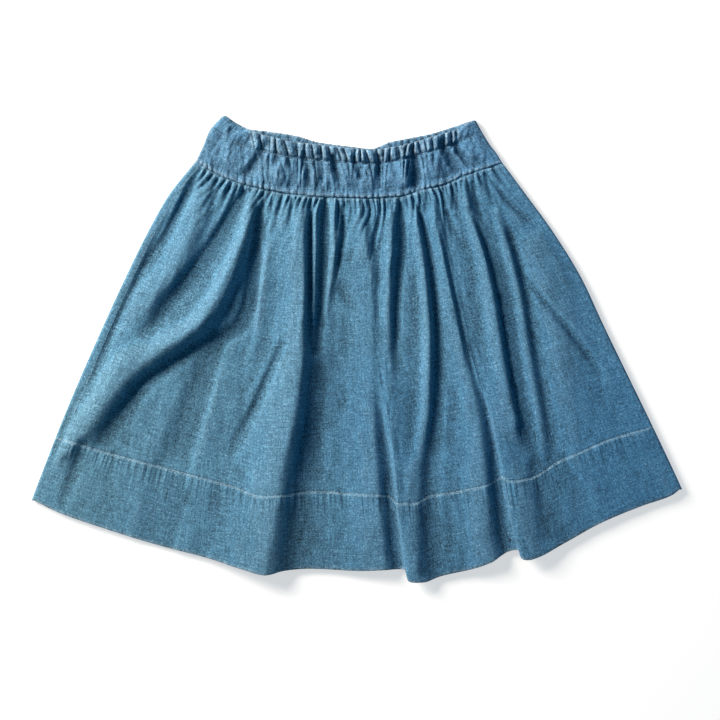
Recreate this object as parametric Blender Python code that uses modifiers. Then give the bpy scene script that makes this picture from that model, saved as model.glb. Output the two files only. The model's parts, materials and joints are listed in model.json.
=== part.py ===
"""A child's gathered cotton skirt, laid flat with its front panel up.

A smooth yoke with an elastic casing along its top edge carries two gathered panels, whose hems
are turned up deep. Sizes are in millimetres: X across, Y towards the waist, Z up from the floor.
"""

import math
from collections import namedtuple

import bmesh
import bpy
import numpy as np

MM = 0.001

# Cloth
WALL = 1.3
DOUBLE_WALL = 2.0
SEAM_GAP = 0.3
SEAM_DROP = 0.4
YOKE_COLOUR = (0.09, 0.215, 0.33)
PANEL_COLOUR = (0.07, 0.17, 0.26)
CLOTH_ROUGHNESS = 0.9

# Side edges, where front and back meet in a soft round turn
TURN_HEIGHT = 2.8
TURN_STRAIGHT = 0.4
TURN_RADIUS = TURN_HEIGHT - TURN_STRAIGHT
TURN_STEPS = 4
TURN_FADE = 9.0
EDGE_HEIGHT = 2 * TURN_HEIGHT + SEAM_GAP

# Lengths down the cloth
YOKE_DEPTH = 44.0
CASING_DEPTH = 13.0
PANEL_LENGTH = 319.0
HEM_DEPTH = 64.0
SEAM_ALLOWANCE = 2.0

# Outlines seen from above, as (x, y)
WAIST_FRONT = (
    (-111, 198.4), (-99, 191), (-80, 183), (-48, 176), (-14, 172), (13, 170),
    (37, 173), (58, 179), (79.5, 185.4), (100.4, 194.1),
)
WAIST_BACK = (
    (-111, 198.4), (-92, 187.2), (-73, 185.2), (-48, 181), (-33, 176.3), (-4, 172.2),
    (13, 170.4), (28.5, 176), (62, 182.8), (100.4, 194.1),
)
YOKE_SEAM = (
    (-136, 160.3), (-122, 150.5), (-105.8, 143.3), (-83.7, 136.9), (-56.5, 131.8), (-22.5, 128.9),
    (11.5, 128.2), (37, 129.7), (54, 134.8), (75.2, 139.9), (92.2, 147.6), (109.2, 153.1), (124, 158.2),
)
HEM_FRONT = (
    (-275.8, -127.4), (-252, -139), (-209.5, -153.8), (-167, -167), (-124.5, -178), (-94.8, -187.3),
    (-76.9, -191.6), (-60.8, -188.2), (-39.5, -186.7), (3, -188.4), (38, -185.8), (42, -187),
    (48, -197), (54, -198.4), (71, -193), (96.5, -187), (113.5, -181), (122, -175.4), (131, -170.3),
    (138, -170.5), (144.5, -178), (151.7, -177), (173, -166), (207, -147.4), (241, -133.4),
    (266.5, -124.4), (275.8, -117.2),
)
HEM_BACK = (
    (-275.8, -127.4), (-200, -152), (-100, -177), (0, -183), (100, -177), (137, -165),
    (200, -146), (275.8, -117.2),
)

# Side edges of the yoke, as (y, x)
YOKE_LEFT = ((160.3, -136), (171.8, -130.5), (185.7, -124.7), (198.4, -111))
YOKE_RIGHT = ((158.2, 124), (165.8, 119.4), (173.5, 113.5), (184.5, 106.7), (194.1, 100.4))

# Long lines of the panel from the seam to the hem: its side edges and the lips of its two
# pleats, as x at each y
PanelLine = namedtuple("PanelLine", "y left first_lip second_lip right")
PANEL_LINES = (
    PanelLine(160, -136.3, 22, 62, 122.8),
    PanelLine(130, -160, 21, 62, 145),
    PanelLine(100, -177, 15, 70.5, 166.8),
    PanelLine(60, -196.7, 12.5, 80.5, 191.4),
    PanelLine(20, -215.1, 15, 91, 210.1),
    PanelLine(-20, -232.8, 19.5, 102.5, 229.5),
    PanelLine(-60, -249.7, 24.3, 113.3, 249),
    PanelLine(-100, -265.3, 29.3, 121.5, 268),
    PanelLine(-140, -280.6, 33.5, 128.5, 286.2),
    PanelLine(-180, -296, 39, 137.5, 304),
    PanelLine(-200, -304, 41, 141, 313),
)

# The front panel's mesh: its columns, and its rows by their distance below the seam
PANEL_COLUMNS = 114
PANEL_ROWS = (0, 2, 7, 14, 24, 38, 56, 80, 110, 145, 185, 225, 253, 256, 286, 319)

# Two pleats lean over steeply at their lips, most at the hem and not at all above the lip's top.
# The columns on each side of a lip's own column swing sideways, at most by LIP_SWING, to make it.
LIP_SWING = 3.0
LIP_HALF_WIDTH = 10.0
LIP_COLUMNS = 4
LIP_LINE_START = 0.35
LIP_OFFSET = 0.25
Lip = namedtuple("Lip", "line column top hem_x hem_y")
LIPS = (
    Lip("first_lip", 67, 5, 41.8, -192),
    Lip("second_lip", 90, -45, 138.4, -175),
)

# The other pieces' meshes
YOKE_ROWS = (0, 3.5, 9, 12.5, 14.5, 22, 32, 42, 44)
YOKE_COLUMNS = 68
BACK_COLUMNS = 30
BACK_YOKE_ROWS = (0, 12.5, 14.5, 30, 44)
BACK_PANEL_ROWS = (0, 40, 90, 140, 190, 225, 253, 256, 286, 319)

# Heights of the outer face above the floor; the yoke's by the distance below its top edge
YOKE_PROFILE = ((0, 5.8), (3.5, 7), (9, 7.1), (12.5, 6), (16, 6.3), (38, 6.1), (44, 6.7))
PANEL_HEIGHT = 5.6
LOWEST_VALLEY = 3.1
LOWEST_HEM_VALLEY = 4.7
VALLEY_SOFTNESS = 1.2
HEM_FADE = 20.0

# The folds are held nearly flat at the yoke seam and rise in full this far from it
SEAM_HOLD = 0.3
SEAM_FADE = 22.0

# Small gathers under the yoke seam
GATHER_RISE = 0.9
GATHER_FADE = 15.0

# Elastic casing, puckered between these two places
PUCKER_RISE = 0.7
PUCKER_FROM = -91.0
PUCKER_TO = 92.0
PUCKER_FADE = 6.0

# A fold is a smooth path down the cloth, how far it rises or sinks along it, and how wide its
# left and right slopes are at its start and at its end
Fold = namedtuple("Fold", "name path rise left right")
PATH_STEPS = 6

PANEL_FOLDS = (
    Fold("left edge trough", ((-131, 158), (-155, 122), (-190, 65)), (-1.5, -3, -0.5),
         (4, 6), (4, 7)),
    Fold("left ridge", ((-103, 131), (-125, 92), (-160, 38)), (4, 7, 2), (14, 26), (7, 12)),
    Fold("left edge ridge", ((-168, 85), (-204, 20), (-252, -85)), (1, 4, 3), (10, 16), (20, 30)),
    Fold("left trough", ((-97, 133), (-112, 100), (-130, 72), (-155, 50)), (-1, -1.5, -1, 0),
         (5, 8), (6, 10)),
    Fold("long slant ridge", ((-92, 131), (-100, 82), (-122, 42), (-158, 0), (-200, -36), (-245, -82)),
         (3, 7, 9.5, 9, 7, 3), (8, 30), (9, 18)),
    Fold("thin ridge", ((-78, 131), (-78, 110), (-85, 80)), (2, 2, 0.5), (5, 5), (4, 4)),
    Fold("deep trough line", ((-72, 131), (-73, 108), (-80, 75), (-87, 35), (-92, 8)),
         (-2.5, -2, -1.5, -1.5, 0), (3, 6), (3, 6)),
    Fold("crease beside it", ((-61, 131), (-64, 115), (-69, 100)), (-2, -2, -0.3), (3, 4), (3, 4)),
    Fold("second crease", ((-53, 129), (-55, 114), (-59, 97)), (-2, -2, -0.3), (3, 4), (3, 4)),
    Fold("main crest", ((-44, 131), (-44, 60), (-44, 0), (-52, -45), (-60, -90), (-69, -145), (-78, -194)),
         (5, 9, 10, 11, 11, 11, 11), (20, 60), (7, 16)),
    Fold("slant crease", ((-64, 3), (-80, -32), (-96, -62), (-112, -92)), (-1, -3, -2.5, -0.5),
         (6, 9), (5, 8)),
    Fold("low left trough", ((-128, 5), (-131, -28), (-142, -62), (-158, -94), (-163, -110)),
         (-1, -4, -4, -3, -1), (12, 12), (14, 14)),
    Fold("left hem dip", ((-146, -125), (-158, -152), (-163, -172)), (-1, -2, -1), (8, 8), (8, 8)),
    Fold("corner hem dip", ((-236, -82), (-243, -106), (-250, -132)), (-2, -2.5, -1),
         (6, 6), (7, 7)),
    Fold("narrow ridge", ((-35, 131), (-33.5, 60), (-36, -20)), (3.2, 3.2, 0.5), (5, 5), (5, 6)),
    Fold("short ridge", ((-18, 128), (-17, 92), (-20, 60), (-27, 30)), (3.5, 4.5, 2.5, 0),
         (6, 8), (4, 6)),
    Fold("middle ridge", ((-2, 128), (3, 80), (4, 20), (-2, -60), (-8, -130), (-10, -192)),
         (3.5, 6, 6, 6, 5, 5), (8, 30), (9, 36)),
    Fold("middle crease", ((21, 128), (19, 108), (12.5, 80)), (-2.5, -2.5, -0.5), (4, 4), (3, 3)),
    Fold("first pleat ridge", ((30, 130), (32, 90), (30, 45), (28, 0), (31, -50)), (4, 7, 6, 3, 1),
         (8, 10), (5, 8)),
    Fold("first pleat lip", ((21, -5), (27, -50), (35, -105), (40, -150), (47.5, -198)),
         (1, 6, 8.5, 10, 11.5), (8, 13), (12, 16)),
    Fold("right centre ridge", ((50, 132), (58, 85), (62, 30), (63, -15), (58, -70), (54, -125), (54, -190)),
         (5, 8, 8, 7, 5, 2, 1), (10, 24), (5, 12)),
    Fold("broad right ridge", ((59, 133), (70, 82), (76, 40), (80, 0), (86, -60), (90, -120), (94, -190)),
         (3, 5, 7, 7, 7, 7, 7), (5, 24), (4, 32)),
    Fold("soft crease", ((70, 135), (76, 108), (84, 88)), (-1.5, -1.5, -0.3), (5, 5), (5, 5)),
    Fold("second pleat ridge", ((91, 142), (104, 95), (112, 62), (120, 22), (127, -22), (134, -68)),
         (4, 7, 9, 9, 8, 5), (16, 26), (6, 8)),
    Fold("second pleat lip", ((98, 0), (113, -45), (126, -95), (134, -135), (144, -180)),
         (0, 4, 8.5, 10, 11), (8, 13), (12, 26)),
    Fold("right ridge", ((118, 112), (133, 70), (142, 28), (149, -12), (157, -55), (161, -90)),
         (2, 5, 6, 6, 5, 1), (12, 12), (9, 10)),
    Fold("right swell", ((150, 90), (168, 30), (180, -40), (200, -110), (215, -155)),
         (2, 3, 3.5, 3, 3), (18, 30), (22, 45)),
    Fold("right slant crease", ((150, 52), (172, 28), (205, -9)), (-1, -2, -0.5), (4, 6), (4, 6)),
    Fold("right seam crease", ((113, 150), (125, 138), (140, 118), (158, 97)), (-2, -2, -1.5, -0.3),
         (3, 5), (3, 5)),
    Fold("short right crease", ((99, 138), (103, 118)), (-2, -0.5), (4, 4), (4, 4)),
)

YOKE_FOLDS = (
    Fold("left slant dip", ((-80, 171), (-84, 159), (-91, 150), (-101, 143)), (-2, -2.6, -2.2, -0.5),
         (7, 9), (7, 9)),
    Fold("left swell", ((-62, 166), (-63, 142)), (1.2, 1.6), (14, 16), (14, 16)),
    Fold("left line", ((-41, 165), (-41, 135)), (-1.6, -1.2), (4, 5), (4, 5)),
    Fold("left dip", ((-18, 163), (-15, 140)), (-2, -1.2), (5, 6), (5, 6)),
    Fold("middle dip", ((-4, 162), (6, 144)), (-1.8, -1), (5, 6), (5, 6)),
    Fold("middle line", ((20, 163), (20, 138)), (-1.4, -1), (4, 5), (4, 5)),
    Fold("right line", ((29, 162), (34, 148)), (-1.4, -0.6), (4, 4), (4, 4)),
    Fold("right swell", ((41, 162), (43, 140)), (1.4, 1.4), (8, 9), (5, 6)),
    Fold("deep right dip", ((47, 170), (50, 156), (53, 133)), (-2.2, -2.8, -2.4),
         (4, 5), (6, 10)),
    Fold("slant dip", ((73, 173), (80, 161), (91, 145)), (-2, -2.4, -1), (6, 7), (6, 7)),
    Fold("second slant dip", ((84, 170), (97, 156), (106, 150)), (-1.6, -2, -0.6), (5, 6), (5, 6)),
)


def through(points, at):
    """Value at a place on the smooth curve through (place, value) points, straight past its ends."""
    stations, heights = np.array(points, float).T
    steps = np.diff(stations)
    slopes = np.diff(heights) / steps
    product = slopes[:-1] * slopes[1:]
    same_way = product > 0
    inner = np.where(same_way, 2 * product / np.where(same_way, slopes[:-1] + slopes[1:], 1), 0)
    tangents = np.concatenate([slopes[:1], inner, slopes[-1:]])
    at = np.asarray(at, float)
    inside = np.clip(at, stations[0], stations[-1])
    i = np.clip(np.searchsorted(stations, inside, side="right") - 1, 0, len(steps) - 1)
    u = (inside - stations[i]) / steps[i]
    value = (
        heights[i] * (1 + 2 * u) * (1 - u) ** 2
        + heights[i + 1] * (3 - 2 * u) * u**2
        + tangents[i] * steps[i] * u * (1 - u) ** 2
        - tangents[i + 1] * steps[i] * u**2 * (1 - u)
    )
    past = at - inside
    return value + past * np.where(past < 0, tangents[0], tangents[-1])


def ease(value):
    """Smooth step from 0 at 0 to 1 at 1."""
    value = np.clip(value, 0, 1)
    return value * value * (3 - 2 * value)


def fold_path(points):
    """The smooth path through a fold's few points."""
    points = np.array(points, float)
    stations = np.arange(len(points))
    fine = np.linspace(0, len(points) - 1, (len(points) - 1) * PATH_STEPS + 1)
    if len(points) == 2:
        return points[0] + np.outer(fine, points[1] - points[0])
    across = through(np.column_stack([stations, points[:, 0]]), fine)
    down = through(np.column_stack([stations, points[:, 1]]), fine)
    return np.column_stack([across, down])


def fold_height(fold, x, y):
    """How far one fold raises or sinks the cloth at x, y."""
    path = fold_path(fold.path)
    starts = path[:-1]
    runs = np.diff(path, axis=0)
    lengths = np.hypot(runs[:, 0], runs[:, 1])
    travelled = np.concatenate([[0], np.cumsum(lengths)])
    nearest = np.full(x.shape, np.inf)
    along = np.zeros(x.shape)
    side = np.ones(x.shape)
    for start, run, length, before in zip(starts, runs, lengths, travelled):
        dx = x - start[0]
        dy = y - start[1]
        share = np.clip((dx * run[0] + dy * run[1]) / length**2, 0, 1)
        distance = np.hypot(dx - share * run[0], dy - share * run[1])
        closer = distance < nearest
        nearest = np.where(closer, distance, nearest)
        along = np.where(closer, before + share * length, along)
        side = np.where(closer, np.sign(run[0] * dy - run[1] * dx), side)
    share = along / travelled[-1]
    rise = np.interp(share, np.linspace(0, 1, len(fold.rise)), fold.rise)
    left = fold.left[0] + (fold.left[1] - fold.left[0]) * share
    right = fold.right[0] + (fold.right[1] - fold.right[0]) * share
    return rise * (1 - ease(nearest / np.where(side < 0, left, right)))


def folds_height(folds, x, y):
    return sum(fold_height(fold, x, y) for fold in folds)


def keep_above(height, lowest):
    """The height, turned softly level where it would sink under the lowest one."""
    over = height - lowest
    return lowest + 0.5 * (over + np.sqrt(over**2 + VALLEY_SOFTNESS**2))


def uneven(number, slow, quick):
    """A fixed unevenness between about -1 and 1 for the thing with this number."""
    return 0.6 * np.sin(slow * number) + 0.4 * np.sin(quick * number + 1.3)


def side_turn():
    """Offsets of a side turn's columns, inwards from its edge and up or down from its seam."""
    angles = np.linspace(0, math.pi / 2, TURN_STEPS + 1)[:-1]
    inwards = np.concatenate([[0], TURN_RADIUS * (1 - np.cos(angles))])
    away = np.concatenate([[0], TURN_STRAIGHT + TURN_RADIUS * np.sin(angles)])
    return inwards, away


def with_side_turns(points, seam_height, upwards):
    """The points of a panel with its two side turns added, each ending at a side seam."""
    inwards, away = side_turn()
    left = np.repeat(points[:, :1], len(inwards), axis=1)
    right = np.repeat(points[:, -1:], len(inwards), axis=1)
    left[:, :, 0] += inwards - TURN_RADIUS
    right[:, :, 0] -= inwards - TURN_RADIUS
    for turn in (left, right):
        turn[:, :, 2] = seam_height + upwards * away
    return np.hstack([left, points, right[:, ::-1]])


def bent_to_lines(x, columns, targets):
    """Shifts each row of x so that the numbered columns lie on their target lines."""
    shifts = np.column_stack([target - x[:, column] for column, target in zip(columns, targets)])
    every = np.arange(x.shape[1])
    return x + np.array([np.interp(every, columns, shift) for shift in shifts])


def side_blend(x):
    """0 at the side turns, rising to 1 inside them."""
    inside = np.minimum(x - x[:, :1], x[:, -1:] - x)
    return ease(inside / TURN_FADE)


def spread(top, top_x, bottom, bottom_x, shares):
    """x and y of straight columns between two edges, each column at its own x on either edge."""
    shares = np.asarray(shares)[:, None]
    top_y = through(top, top_x)
    x = top_x + (bottom_x - top_x) * shares
    return x, top_y + (through(bottom, bottom_x) - top_y) * shares


def evenly(edge, columns):
    """Even places along an edge between its two side turns."""
    return np.linspace(edge[0][0] + TURN_RADIUS, edge[-1][0] - TURN_RADIUS, columns + 1)


def panel_line(name, y):
    return through([(line.y, getattr(line, name)) for line in reversed(PANEL_LINES)], y)


def below_seam():
    """The panels' top edge, which clears the yoke's lower edge."""
    return [(x, y - SEAM_DROP) for x, y in YOKE_SEAM]


def front_panel_plan():
    """x and y of the front panel's columns, which follow its sides and the lips of its pleats."""
    stops = [0]
    hem_stops = [HEM_FRONT[0][0] + TURN_RADIUS]
    for lip in LIPS:
        stops += [lip.column - LIP_COLUMNS, lip.column + LIP_COLUMNS]
        hem_stops += [lip.hem_x - LIP_HALF_WIDTH, lip.hem_x + LIP_HALF_WIDTH]
    stops.append(PANEL_COLUMNS)
    hem_stops.append(HEM_FRONT[-1][0] - TURN_RADIUS)
    shares = np.array(PANEL_ROWS) / PANEL_LENGTH
    hem_x = np.interp(np.arange(PANEL_COLUMNS + 1), stops, hem_stops)
    x, y = spread(below_seam(), evenly(YOKE_SEAM, PANEL_COLUMNS), HEM_FRONT, hem_x, shares)
    joined = ease(shares / LIP_LINE_START)
    targets = [panel_line("left", y[:, 0]) + TURN_RADIUS]
    for lip in LIPS:
        centre = panel_line(lip.line, y[:, lip.column]) + LIP_OFFSET
        for side in (-1, 1):
            straight = x[:, lip.column + side * LIP_COLUMNS]
            targets.append(straight + (centre + side * LIP_HALF_WIDTH - straight) * joined)
    targets.append(panel_line("right", y[:, -1]) - TURN_RADIUS)
    return bent_to_lines(x, stops, targets), y


def lip_swing(lip, y):
    """Sideways shift of the columns beside a lip, which makes the pleat lean over."""
    across = np.clip((np.arange(y.shape[1]) - lip.column) / LIP_COLUMNS, -1, 1)
    grown = ease((lip.top - y) / (lip.top - lip.hem_y))
    return -LIP_SWING * grown * np.sin(math.pi * across)


def front_panel_height(x, y):
    """Outer face of the front panel above the floor."""
    distance = np.array(PANEL_ROWS, float)[:, None] + 0 * x
    below = np.maximum(distance - SEAM_ALLOWANCE, 0)
    column = np.arange(x.shape[1])
    loosened = SEAM_HOLD + (1 - SEAM_HOLD) * ease(below / SEAM_FADE)
    gather = GATHER_RISE * (1 + 0.5 * uneven(column, 2.4, 5.1)) * (-1.0) ** column
    fade = GATHER_FADE * (1 + 0.5 * uneven(column // 2, 1.7, 3.9))
    height = PANEL_HEIGHT + folds_height(PANEL_FOLDS, x, y) * loosened + gather * np.exp(-below / fade)
    hem = ease((distance - (PANEL_LENGTH - HEM_DEPTH) + HEM_FADE) / HEM_FADE)
    height = keep_above(height, LOWEST_VALLEY + (LOWEST_HEM_VALLEY - LOWEST_VALLEY) * hem)
    height = EDGE_HEIGHT + (height - EDGE_HEIGHT) * side_blend(x)
    height[0] = height[1]
    return height


def front_panel_points():
    """The front panel's outer face, with its pleats leaning over."""
    x, y = front_panel_plan()
    height = front_panel_height(x, y)
    x = x + sum(lip_swing(lip, y) for lip in LIPS)
    return with_side_turns(np.dstack([x, y, height]), TURN_HEIGHT + SEAM_GAP, 1)


def yoke_plan(waist, rows, columns):
    """x and y of a yoke, front or back, whose sides follow the yoke's curved side edges."""
    shares = np.array(rows) / YOKE_DEPTH
    x, y = spread(waist, evenly(waist, columns), YOKE_SEAM, evenly(YOKE_SEAM, columns), shares)
    targets = (through(YOKE_LEFT, y[:, 0]) + TURN_RADIUS, through(YOKE_RIGHT, y[:, -1]) - TURN_RADIUS)
    return bent_to_lines(x, (0, columns), targets), y


def front_yoke_points():
    """The front yoke's outer face, puckered along its casing."""
    x, y = yoke_plan(WAIST_FRONT, YOKE_ROWS, YOKE_COLUMNS)
    distance = np.array(YOKE_ROWS, float)[:, None] + 0 * x
    column = np.arange(x.shape[1])
    puckered = ease((x - PUCKER_FROM) / PUCKER_FADE) * ease((PUCKER_TO - x) / PUCKER_FADE)
    in_casing = 1 - ease((distance - CASING_DEPTH) / PUCKER_FADE)
    pucker = PUCKER_RISE * (1 + 0.4 * uneven(column, 1.9, 4.7)) * (-1.0) ** column * puckered * in_casing
    held = ease((YOKE_DEPTH - SEAM_ALLOWANCE - distance) / SEAM_FADE)
    loosened = SEAM_HOLD + (1 - SEAM_HOLD) * held
    height = through(YOKE_PROFILE, distance) + pucker + folds_height(YOKE_FOLDS, x, y) * loosened
    height = keep_above(height, LOWEST_VALLEY + (LOWEST_HEM_VALLEY - LOWEST_VALLEY) * in_casing)
    height = EDGE_HEIGHT + (height - EDGE_HEIGHT) * side_blend(x)
    height[-1] = height[-2]
    return with_side_turns(np.dstack([x, y, height]), TURN_HEIGHT + SEAM_GAP, 1)


def back_yoke_points():
    """The back yoke's outer face, which lies flat on the floor."""
    x, y = yoke_plan(WAIST_BACK, BACK_YOKE_ROWS, BACK_COLUMNS)
    return with_side_turns(np.dstack([x, y, 0 * x]), TURN_HEIGHT, -1)


def back_panel_points():
    """The back panel's outer face, which lies flat on the floor."""
    shares = np.array(BACK_PANEL_ROWS) / PANEL_LENGTH
    top_x = evenly(YOKE_SEAM, BACK_COLUMNS)
    x, y = spread(below_seam(), top_x, HEM_BACK, evenly(HEM_BACK, BACK_COLUMNS), shares)
    targets = (panel_line("left", y[:, 0]) + TURN_RADIUS, panel_line("right", y[:, -1]) - TURN_RADIUS)
    x = bent_to_lines(x, (0, BACK_COLUMNS), targets)
    return with_side_turns(np.dstack([x, y, 0 * x]), TURN_HEIGHT, -1)


def cloth_material(name, colour, roughness):
    material = bpy.data.materials.new(name)
    material.use_nodes = True
    shader = material.node_tree.nodes["Principled BSDF"]
    shader.inputs["Base Color"].default_value = (*colour, 1)
    shader.inputs["Roughness"].default_value = roughness
    shader.inputs["Metallic"].default_value = 0
    return material


def add_cloth(name, points, doubled_rows, faces_up, material, collection):
    """A cloth wall under an outer face given as points, one row of the array to each row."""
    rows, columns = points.shape[:2]
    mesh = bpy.data.meshes.new(name)
    shape = bmesh.new()
    bmesh.ops.create_grid(shape, x_segments=columns - 1, y_segments=rows - 1, size=0.5)
    doubled = []
    for vertex in shape.verts:
        column = round((vertex.co.x + 0.5) * (columns - 1))
        row = round((0.5 - vertex.co.y) * (rows - 1))
        vertex.co = points[row, column] * MM
        inside_turns = TURN_STEPS < column < columns - 1 - TURN_STEPS
        if doubled_rows[row] and inside_turns:
            doubled.append(vertex.index)
    if not faces_up:
        bmesh.ops.reverse_faces(shape, faces=shape.faces)
    shape.to_mesh(mesh)
    shape.free()
    mesh.materials.append(material)
    mesh.shade_smooth()
    piece = bpy.data.objects.new(name, mesh)
    collection.objects.link(piece)
    piece.vertex_groups.new(name="doubled").add(doubled, 1, "REPLACE")
    wall = piece.modifiers.new("wall", "SOLIDIFY")
    wall.thickness = DOUBLE_WALL * MM
    wall.offset = -1
    wall.vertex_group = "doubled"
    wall.thickness_vertex_group = WALL / DOUBLE_WALL
    return piece


def in_casing(rows):
    return [distance < CASING_DEPTH for distance in rows]


def in_hem(rows):
    return [distance > PANEL_LENGTH - HEM_DEPTH for distance in rows]


def main():
    for old in list(bpy.data.objects):
        bpy.data.objects.remove(old, do_unlink=True)
    collection = bpy.data.collections.new("child_gathered_skirt")
    bpy.context.scene.collection.children.link(collection)
    yoke_cloth = cloth_material("yoke_chambray", YOKE_COLOUR, CLOTH_ROUGHNESS)
    panel_cloth = cloth_material("panel_chambray", PANEL_COLOUR, CLOTH_ROUGHNESS)
    add_cloth("yoke_front", front_yoke_points(), in_casing(YOKE_ROWS), True, yoke_cloth, collection)
    add_cloth("yoke_back", back_yoke_points(), in_casing(BACK_YOKE_ROWS), False, yoke_cloth, collection)
    add_cloth("skirt_front", front_panel_points(), in_hem(PANEL_ROWS), True, panel_cloth, collection)
    add_cloth("skirt_back", back_panel_points(), in_hem(BACK_PANEL_ROWS), False, panel_cloth, collection)


if __name__ == "__main__":
    main()
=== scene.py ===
"""A child's gathered chambray skirt, laid flat with its front panel up.

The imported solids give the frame. Four cloth pieces stand for the four solids, and the sewing is
laid on them. Lengths in the cloth's own code are millimetres: X across, Y towards the waist,
Z up from the floor, and `below` runs down the cloth from a seam or an edge.
"""

import json
import math
from collections import namedtuple

import bpy
import numpy as np
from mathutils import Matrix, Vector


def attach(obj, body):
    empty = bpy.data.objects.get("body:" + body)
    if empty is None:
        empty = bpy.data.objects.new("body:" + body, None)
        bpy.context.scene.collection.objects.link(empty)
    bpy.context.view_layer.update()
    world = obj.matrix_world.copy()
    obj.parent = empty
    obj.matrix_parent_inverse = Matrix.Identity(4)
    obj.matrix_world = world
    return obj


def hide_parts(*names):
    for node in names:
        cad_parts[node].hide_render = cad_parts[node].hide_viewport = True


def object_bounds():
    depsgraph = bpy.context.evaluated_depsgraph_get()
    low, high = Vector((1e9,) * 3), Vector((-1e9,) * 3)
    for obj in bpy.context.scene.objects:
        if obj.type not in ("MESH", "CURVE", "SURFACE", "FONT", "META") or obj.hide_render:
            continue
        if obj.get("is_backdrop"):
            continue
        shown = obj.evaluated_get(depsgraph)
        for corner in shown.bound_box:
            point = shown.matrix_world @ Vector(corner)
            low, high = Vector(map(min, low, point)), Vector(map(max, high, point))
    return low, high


bl_info = {
    "name": "Gathered Chambray Skirt",
    "version": (1, 0, 0),
    "blender": (4, 5, 0),
    "location": "View3D > Sidebar > Skirt",
    "description": "Sews a child's gathered skirt in washed chambray, laid flat",
    "category": "Add Mesh",
}

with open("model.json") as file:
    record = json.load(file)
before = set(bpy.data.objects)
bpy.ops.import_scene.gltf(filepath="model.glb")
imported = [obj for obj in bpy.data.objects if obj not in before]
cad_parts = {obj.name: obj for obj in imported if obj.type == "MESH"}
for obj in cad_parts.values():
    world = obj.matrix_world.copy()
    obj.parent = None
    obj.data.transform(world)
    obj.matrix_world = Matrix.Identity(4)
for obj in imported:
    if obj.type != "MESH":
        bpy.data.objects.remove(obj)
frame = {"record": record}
CAD_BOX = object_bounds()
SLOT_COLOURS = {row["slot"]: row["base_color"] for row in frame["record"]["materials"]}

MM = 0.001
BODY = "root"

# Lengths down the cloth
YOKE_DEPTH = 44.0
CASING_DEPTH = 13.0
PANEL_LENGTH = 319.0
HEM_DEPTH = 64.0
HEM_LINE_AT = PANEL_LENGTH - HEM_DEPTH

# Side edges, where front and back meet in a soft round turn
TURN_RADIUS = 2.4
TURN_STRAIGHT = 0.4
TURN_STEPS = 5
TURN_FADE = 9.0
SEAM_HEIGHT = 2.95
EDGE_HEIGHT = 5.9

# Outlines seen from above, as (x, y)
WAIST_FRONT = (
    (-111.6, 200.2), (-99, 191.6), (-80, 183.4), (-48, 176), (-14, 172), (13, 170),
    (37, 173), (58, 179), (79.5, 185.4), (100.8, 195.4),
)
WAIST_BACK = (
    (-111.6, 200.2), (-92, 187.6), (-73, 185.2), (-48, 181), (-33, 176.3), (-4, 172.2),
    (13, 170.4), (28.5, 176), (62, 182.8), (100.8, 195.4),
)
YOKE_SEAM = (
    (-136, 160.3), (-122, 150.5), (-105.8, 143.3), (-83.7, 136.9), (-56.5, 131.8), (-22.5, 128.9),
    (11.5, 128.2), (37, 129.7), (54, 134.8), (75.2, 139.9), (92.2, 147.6), (109.2, 153.1), (124, 158.2),
)
HEM_FRONT = (
    (-275.8, -127.4), (-252, -139), (-209.5, -153.8), (-167, -167), (-124.5, -178), (-94.8, -187.3),
    (-76.9, -191.6), (-60.8, -188.2), (-39.5, -186.7), (3, -188.4), (38.5, -187), (44.5, -196.4),
    (49, -198.2), (56, -198), (71, -193), (96.5, -187), (113.5, -181), (122, -175.4), (131, -170.8),
    (134, -170.6), (140, -178), (144, -179), (151.7, -177), (173, -166), (207, -147.4), (241, -133.4),
    (266.5, -124.4), (275.8, -117.2),
)
HEM_BACK = (
    (-275.8, -127.4), (-200, -152), (-100, -177), (0, -183), (100, -177), (137, -165),
    (200, -146), (275.8, -117.2),
)

# The line of stitches that holds up the hem, on the front and on the back
HEM_LINE_FRONT = (
    (-262, -73), (-235, -79), (-210, -87), (-170, -98), (-140, -106), (-100, -117), (-75, -125),
    (-60, -124), (-30, -121), (0, -123), (22, -124), (29, -124.5), (35, -131), (50, -131),
    (62, -125), (80, -122), (110, -115), (121, -108.5), (128, -112), (140, -110.5), (150, -107),
    (165, -97), (185, -88), (210, -77), (250, -65), (264, -60),
)
HEM_LINE_BACK = (
    (-264, -70), (-190, -92), (-95, -113), (0, -119), (95, -113), (130, -103), (190, -85), (262, -58),
)

# Side edges of the yoke, as (y, x)
YOKE_LEFT = ((160.3, -136), (171.8, -130.5), (185.7, -124.7), (200.2, -111.6))
YOKE_RIGHT = ((158.2, 124), (165.8, 119.4), (173.5, 113.5), (184.5, 106.7), (195.4, 100.8))

# Long lines of the panel: its side edges and the lips of its two folded-over pleats, as x at y
PanelLine = namedtuple("PanelLine", "y left first_lip second_lip right")
PANEL_LINES = (
    PanelLine(160, -136.3, 22, 62, 122.8),
    PanelLine(130, -160, 21, 62, 145),
    PanelLine(100, -177, 15, 70.5, 166.8),
    PanelLine(60, -196.7, 12.5, 80.5, 191.4),
    PanelLine(20, -215.1, 15, 91, 210.1),
    PanelLine(-20, -232.8, 19.5, 102.5, 229.5),
    PanelLine(-60, -249.7, 24.3, 113.3, 249),
    PanelLine(-100, -265.3, 29.3, 121.5, 268),
    PanelLine(-140, -280.6, 33.5, 128.5, 286.2),
    PanelLine(-180, -296, 39, 137.5, 304),
    PanelLine(-200, -304, 41, 141, 313),
)

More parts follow.
